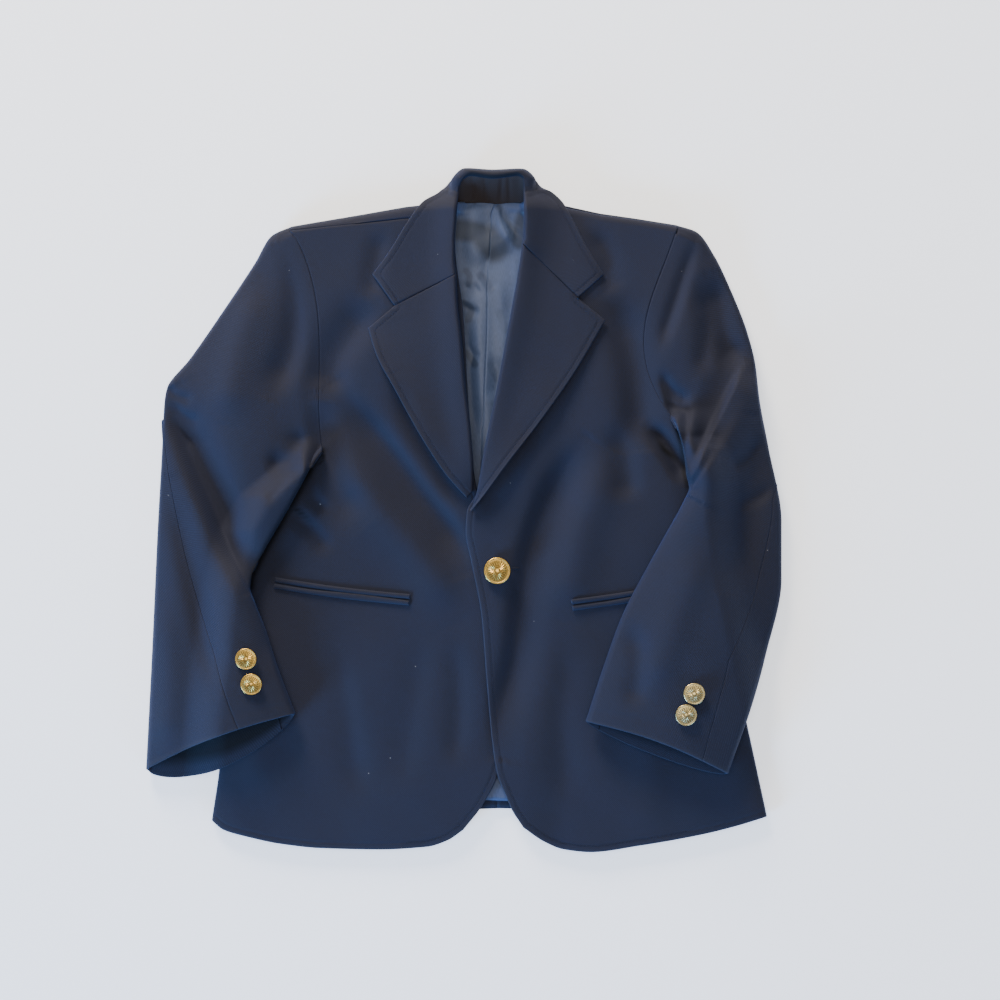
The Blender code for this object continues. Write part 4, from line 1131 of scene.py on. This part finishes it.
def buildSleeve(side):
    own = sides[side]
    word = own["word"]
    station = stops(*sleeve["rows"])
    seam = between(own["elbowSeam"], station)
    forearm = np.full_like(station, sleeve["forearmSeam"])
    pieces = []
    for part, low, high, columns in (("Top", seam, 1 + forearm, sleeve["topColumns"]),
                                     ("Under", forearm - 1, seam, sleeve["underColumns"])):
        low, high = low[:, None] - sleeve["seamOverlap"], high[:, None] + sleeve["seamOverlap"]
        c = low + (high - low) * stops((0.015, 5), (0.985, columns), (1.0, 5))[None]
        s = np.broadcast_to(station[:, None], c.shape)
        points, width = sleevePoint(side, s, c)
        onTop = (c > 0) & (c < 1)
        shaped = seamRound(np.minimum(c - low, high - c) * width, "sleeve")
        toCuff = (1 - s) * sleeve["cuffLength"]
        ends = 0.8 * rim(toCuff, sleeve["cuffHem"]) + seamRound(s * sleeve["length"], "sleeveHead")
        points[..., 2] += np.where(onTop, shaped + ends, -0.4 * shaped)
        points[..., 2] = np.maximum(points[..., 2], 0.0)
        # Painted shade darkens the mouth of the cuff behind its hem, and the inner fold down to the elbow; on
        # top the cuff's edge is worn
        paintedMouthShade = own["mouthShade"] * ease(0.80, 0.88, s) * (1 - ease(0.978, 0.993, s))
        end = own["foldShadeTo"]
        fold = sleeve["foldShade"] * bell((1.0 - c) * width, own["foldShadeWidth"])
        fold = fold * ease(0.02, 0.08, s) * (1 - ease(end - 0.08, end + 0.04, s))
        cuffWearAndShade = np.where(onTop, bell(toCuff - 0.5, 1.2), -paintedMouthShade) - fold
        uv = np.dstack([c * width, s * sleeve["length"]])
        pieces.append(clothPiece(f"{word}{part}SleeveCloth", points, uv, [f"{word}_{part.lower()}_sleeve"],
                                 flip=side < 0, edge=cuffWearAndShade))
    return pieces


print("building the sleeves")
rightTopSleeve, rightUnderSleeve = buildSleeve(-1)
leftTopSleeve, leftUnderSleeve = buildSleeve(1)


# Pockets

pocket = {"depth": 8.6, "slit": 1.2, "gape": -1.5, "gapeFrom": 0.25, "sag": 1.2, "above": 0.25, "belly": 0.25}


def buildPocket(side):
    start, end = (np.array(p, float) for p in sides[side]["pocket"])
    run = (end - start) / math.dist(start, end)
    down = np.array([run[1], -run[0]])
    word = sides[side]["word"]
    welt = (pocket["depth"] - pocket["slit"]) / 2
    made = []
    for name, first in (("Upper", 0.0), ("Lower", welt + pocket["slit"])):
        u, v = np.meshgrid(stops((0.02, 6), (0.98, 90), (1.0, 6)), stops((1.0, 12)))
        shift = first + pocket["sag"] * np.sin(np.pi * u) + welt * (1 - v)
        if name == "Lower":
            opened = np.clip((u - pocket["gapeFrom"]) / (1 - pocket["gapeFrom"]), 0, 1)
            shift = shift + pocket["gape"] * np.sin(np.pi * opened) ** 1.4 * v
        plan = start + (end - start) * u[..., None] + down * shift[..., None]
        toRim = np.minimum(v, 1 - v) * welt
        toEnd = np.minimum(u, 1 - u) * math.dist(start, end)
        z = topOf(side)(plan[..., 0], plan[..., 1]) + seamGap + weltWall + pocket["above"]
        z = z + seamRound(np.minimum(toRim, toEnd), "welt") + pocket["belly"] * np.sin(np.pi * v)
        made.append(clothPiece(f"{word}Pocket{name}WeltCloth", np.dstack([plan, z]), plan,
                               [f"{word}_pocket_{name.lower()}_welt"], weltWall, edge=bell(toRim, 0.8)))
    return made


print("building the pockets")
rightPocket, leftPocket = buildPocket(-1), buildPocket(1)


# Buttons

# Radius and height as shares of the button's radius, from the middle of its back to that of its face
buttonOutline = (
    (0.0, 0.0), (0.20, 0.0), (0.22, 0.02), (0.22, 0.12), (0.50, 0.13), (0.84, 0.155), (0.95, 0.19),
    (0.995, 0.235), (1.0, 0.28), (0.995, 0.325), (0.965, 0.365), (0.92, 0.38), (0.88, 0.365), (0.855, 0.345),
    (0.83, 0.348), (0.78, 0.372), (0.72, 0.392), (0.66, 0.410), (0.60, 0.426), (0.54, 0.440), (0.48, 0.452),
    (0.42, 0.463), (0.36, 0.472), (0.30, 0.479), (0.24, 0.485), (0.18, 0.490), (0.12, 0.494), (0.06, 0.497),
    (0.0, 0.498),
)
frontButton = {
    "diameter": 20.4, "rays": 24, "rayDepth": 0.032, "raysFrom": (0.16, 0.30), "raysTo": (0.70, 0.80),
    "ring": 0.20, "ringDepth": 0.022, "ringWidth": 0.035, "faceRadius": 0.83, "faceHeight": 0.3,
    "ropeFrom": 0.86, "rope": 48, "ropeDepth": 0.012, "ropeLean": 30, "backHeight": 0.25, "steps": 144,
    "sharp": 50, "material": gilt,
}
rightCuffButton = dict(frontButton, diameter=16.2, rays=20)
leftCuffButton = dict(rightCuffButton, material=paleGilt)


def buildButton(name, node, look, at, height, tilt):
    # A domed metal button turned from its outline, with a roped rim and rays pressed into its face
    radius = look["diameter"] / 2
    mesh = bmesh.new()
    verts = [mesh.verts.new((r * radius, 0, z * radius)) for r, z in buttonOutline]
    for a, b in zip(verts, verts[1:]):
        mesh.edges.new((a, b))
    bmesh.ops.spin(mesh, geom=mesh.verts[:] + mesh.edges[:], cent=(0, 0, 0), axis=(0, 0, 1),
                   angle=2 * math.pi, steps=look["steps"], use_merge=True)
    bmesh.ops.remove_doubles(mesh, verts=mesh.verts, dist=1e-4)
    bmesh.ops.recalc_face_normals(mesh, faces=mesh.faces)
    layer = mesh.loops.layers.uv.new("cloth")
    low = mesh.verts.layers.float.new("edge")
    for vert in mesh.verts:
        x, y = vert.co.xy
        r = math.hypot(x, y) / radius
        angle = math.atan2(y, x)
        onFace = vert.co.z > look["faceHeight"] * radius
        if onFace and r < look["faceRadius"]:
            ray = 0.5 + 0.5 * math.cos(angle * look["rays"])
            reach = float(ease(*look["raysFrom"], r) * (1 - ease(*look["raysTo"], r)))
            ring = look["ringDepth"] * float(bell(r - look["ring"], look["ringWidth"]))
            vert.co.z -= (ray ** 1.5 * reach * look["rayDepth"] + ring) * radius
            grooves = float(bell(r - look["ring"], 0.05)) + float(bell(r - look["faceRadius"], 0.03))
            vert[low] = min(1.0, 0.9 * reach * ray ** 2 + grooves)
        elif onFace and r > look["ropeFrom"]:
            twist = math.cos(angle * look["rope"] + r * look["ropeLean"])
            vert.co.z += look["ropeDepth"] * radius * twist
            vert[low] = 0.25 + 0.25 * twist
        elif vert.co.z < look["backHeight"] * radius:
            vert[low] = 0.6
        vert.co.z += tilt[0] * x + tilt[1] * y
    for face in mesh.faces:
        for loop in face.loops:
            loop[layer].uv = loop.vert.co.xy
    for vert in mesh.verts:
        vert.co = toWorld(np.array(vert.co) + (*at, height))
    piece = finishPiece(name, mesh, look["material"], [node])
    piece.data.set_sharp_from_angle(angle=math.radians(look["sharp"]))
    return piece


def sleeveHeight(side, at):
    s, c = np.meshgrid(np.linspace(0.7, 1.0, 91), np.linspace(0.1, 0.9, 121))
    points, _ = sleevePoint(side, s, c)
    flat = points.reshape(-1, 3)
    return float(flat[np.argmin(np.hypot(flat[:, 0] - at[0], flat[:, 1] - at[1])), 2])


print("building the buttons")
frontAt = (25, -46)
buildButton("frontButtonGilt", "front_button", frontButton, frontAt,
            float(leftTop(*frontAt)) + seamGap + 0.25, (0.02, -0.03))
for side, look in ((-1, rightCuffButton), (1, leftCuffButton)):
    word = sides[side]["word"]
    for number, (at, tilt) in enumerate(zip(sides[side]["cuffTop"], ((0.03, -0.02), (-0.02, 0.05))), 1):
        buildButton(f"{word}CuffButton{number}Gilt", f"{word}_cuff_button_{number}", look, at,
                    sleeveHeight(side, at) + seamGap + 0.35, tilt)


# Stitching

print("sewing")
# Where along its border each front's topstitching shows
stitched = {"right": (0.38, 0.62), "left": (0.16, 0.74)}
for side, border in ((-1, rightBorder), (1, leftBorder)):
    word = sides[side]["word"]
    line = offsetPath(border, -side * body["stitchInset"], topOf(side))
    start, end = (round(share * len(line)) for share in stitched[word])
    stitchMesh(f"{word}FrontStitches", stitchRow(line[start:end]))

buttonhole = {
    "start": 36.2, "pitch": 0.95, "count": 7, "across": (-45.4, -43.4), "above": 0.15, "radius": 0.42,
}


def buildButtonhole():
    # The bar of thread that shows past the button
    bar = []
    for k in range(buttonhole["count"]):
        x = buttonhole["start"] + buttonhole["pitch"] * k
        bar.append([np.array([x, y, float(leftTop(x, y)) + buttonhole["above"]])
                    for y in buttonhole["across"]])
    return stitchMesh("buttonholeThread", bar, buttonhole["radius"])


holeThread = buildButtonhole()

# Floor, light and camera

studio = {
    "floorSize": 3.0, "floorHeight": -0.002, "floorColour": (0.95, 0.95, 0.95, 1), "floorGlow": 0.9,
    "skyColour": (0.96, 0.97, 1.0, 1), "skyPower": 0.32,
    "distance": 1.9, "tilt": 0.0, "aim": (0.0276, 0.0082, 0.012), "sensor": 36, "frameWidth": 0.760,
}
# Name, place, size, power and colour; each points at the middle of the blazer
lights = (
    ("lampLight", (-0.9, 2.3, 0.95), 0.8, 120, (1.0, 0.90, 0.79)),
    ("windowLight", (-2.1, -1.8, 0.72), 1.0, 210, (0.20, 0.46, 1.0)),
    ("rightWindow", (1.6, -2.3, 0.60), 1.0, 60, (0.20, 0.46, 1.0)),
    ("overheadLight", (0.0, 0.3, 2.6), 1.6, 26, (1.0, 0.97, 0.93)),
)

floorMesh = bmesh.new()
bmesh.ops.create_grid(floorMesh, x_segments=2, y_segments=2, size=studio["floorSize"])
floorMaterial, _, floorShader = startMaterial("paleFloor", 0.9)
floorShader.inputs["Base Color"].default_value = studio["floorColour"]
floorShader.inputs["Emission Color"].default_value = (1, 1, 1, 1)
floorShader.inputs["Emission Strength"].default_value = studio["floorGlow"]
floor = bpy.data.objects.new("floor", meshData("floor", floorMesh, floorMaterial))
bpy.context.scene.collection.objects.link(floor)
floor.location.z = studio["floorHeight"]

world = bpy.data.worlds.new("studio")
bpy.context.scene.world = world
world.use_nodes = True
sky = world.node_tree.nodes["Background"]
sky.inputs["Color"].default_value = studio["skyColour"]
sky.inputs["Strength"].default_value = studio["skyPower"]


def placeAt(name, data, place, target):
    thing = bpy.data.objects.new(name, data)
    bpy.context.scene.collection.objects.link(thing)
    thing.location = place
    thing.rotation_mode = "QUATERNION"
    thing.rotation_quaternion = (Vector(target) - Vector(place)).to_track_quat("-Z", "Y")
    return thing


for name, place, size, power, colour in lights:
    lamp = bpy.data.lights.new(name, "AREA")
    lamp.size = size
    lamp.energy = power
    lamp.color = colour
    placeAt(name, lamp, place, (0, 0, 0))

tilt, aim = math.radians(studio["tilt"]), Vector(studio["aim"])
cameraData = bpy.data.cameras.new("camera")
cameraPlace = aim + Vector((0, -math.sin(tilt), math.cos(tilt))) * studio["distance"]
bpy.context.scene.camera = placeAt("camera", cameraData, cameraPlace, aim)
cameraData.sensor_width = studio["sensor"]
cameraData.lens = studio["sensor"] * studio["distance"] / studio["frameWidth"]
print("camera and lights set")
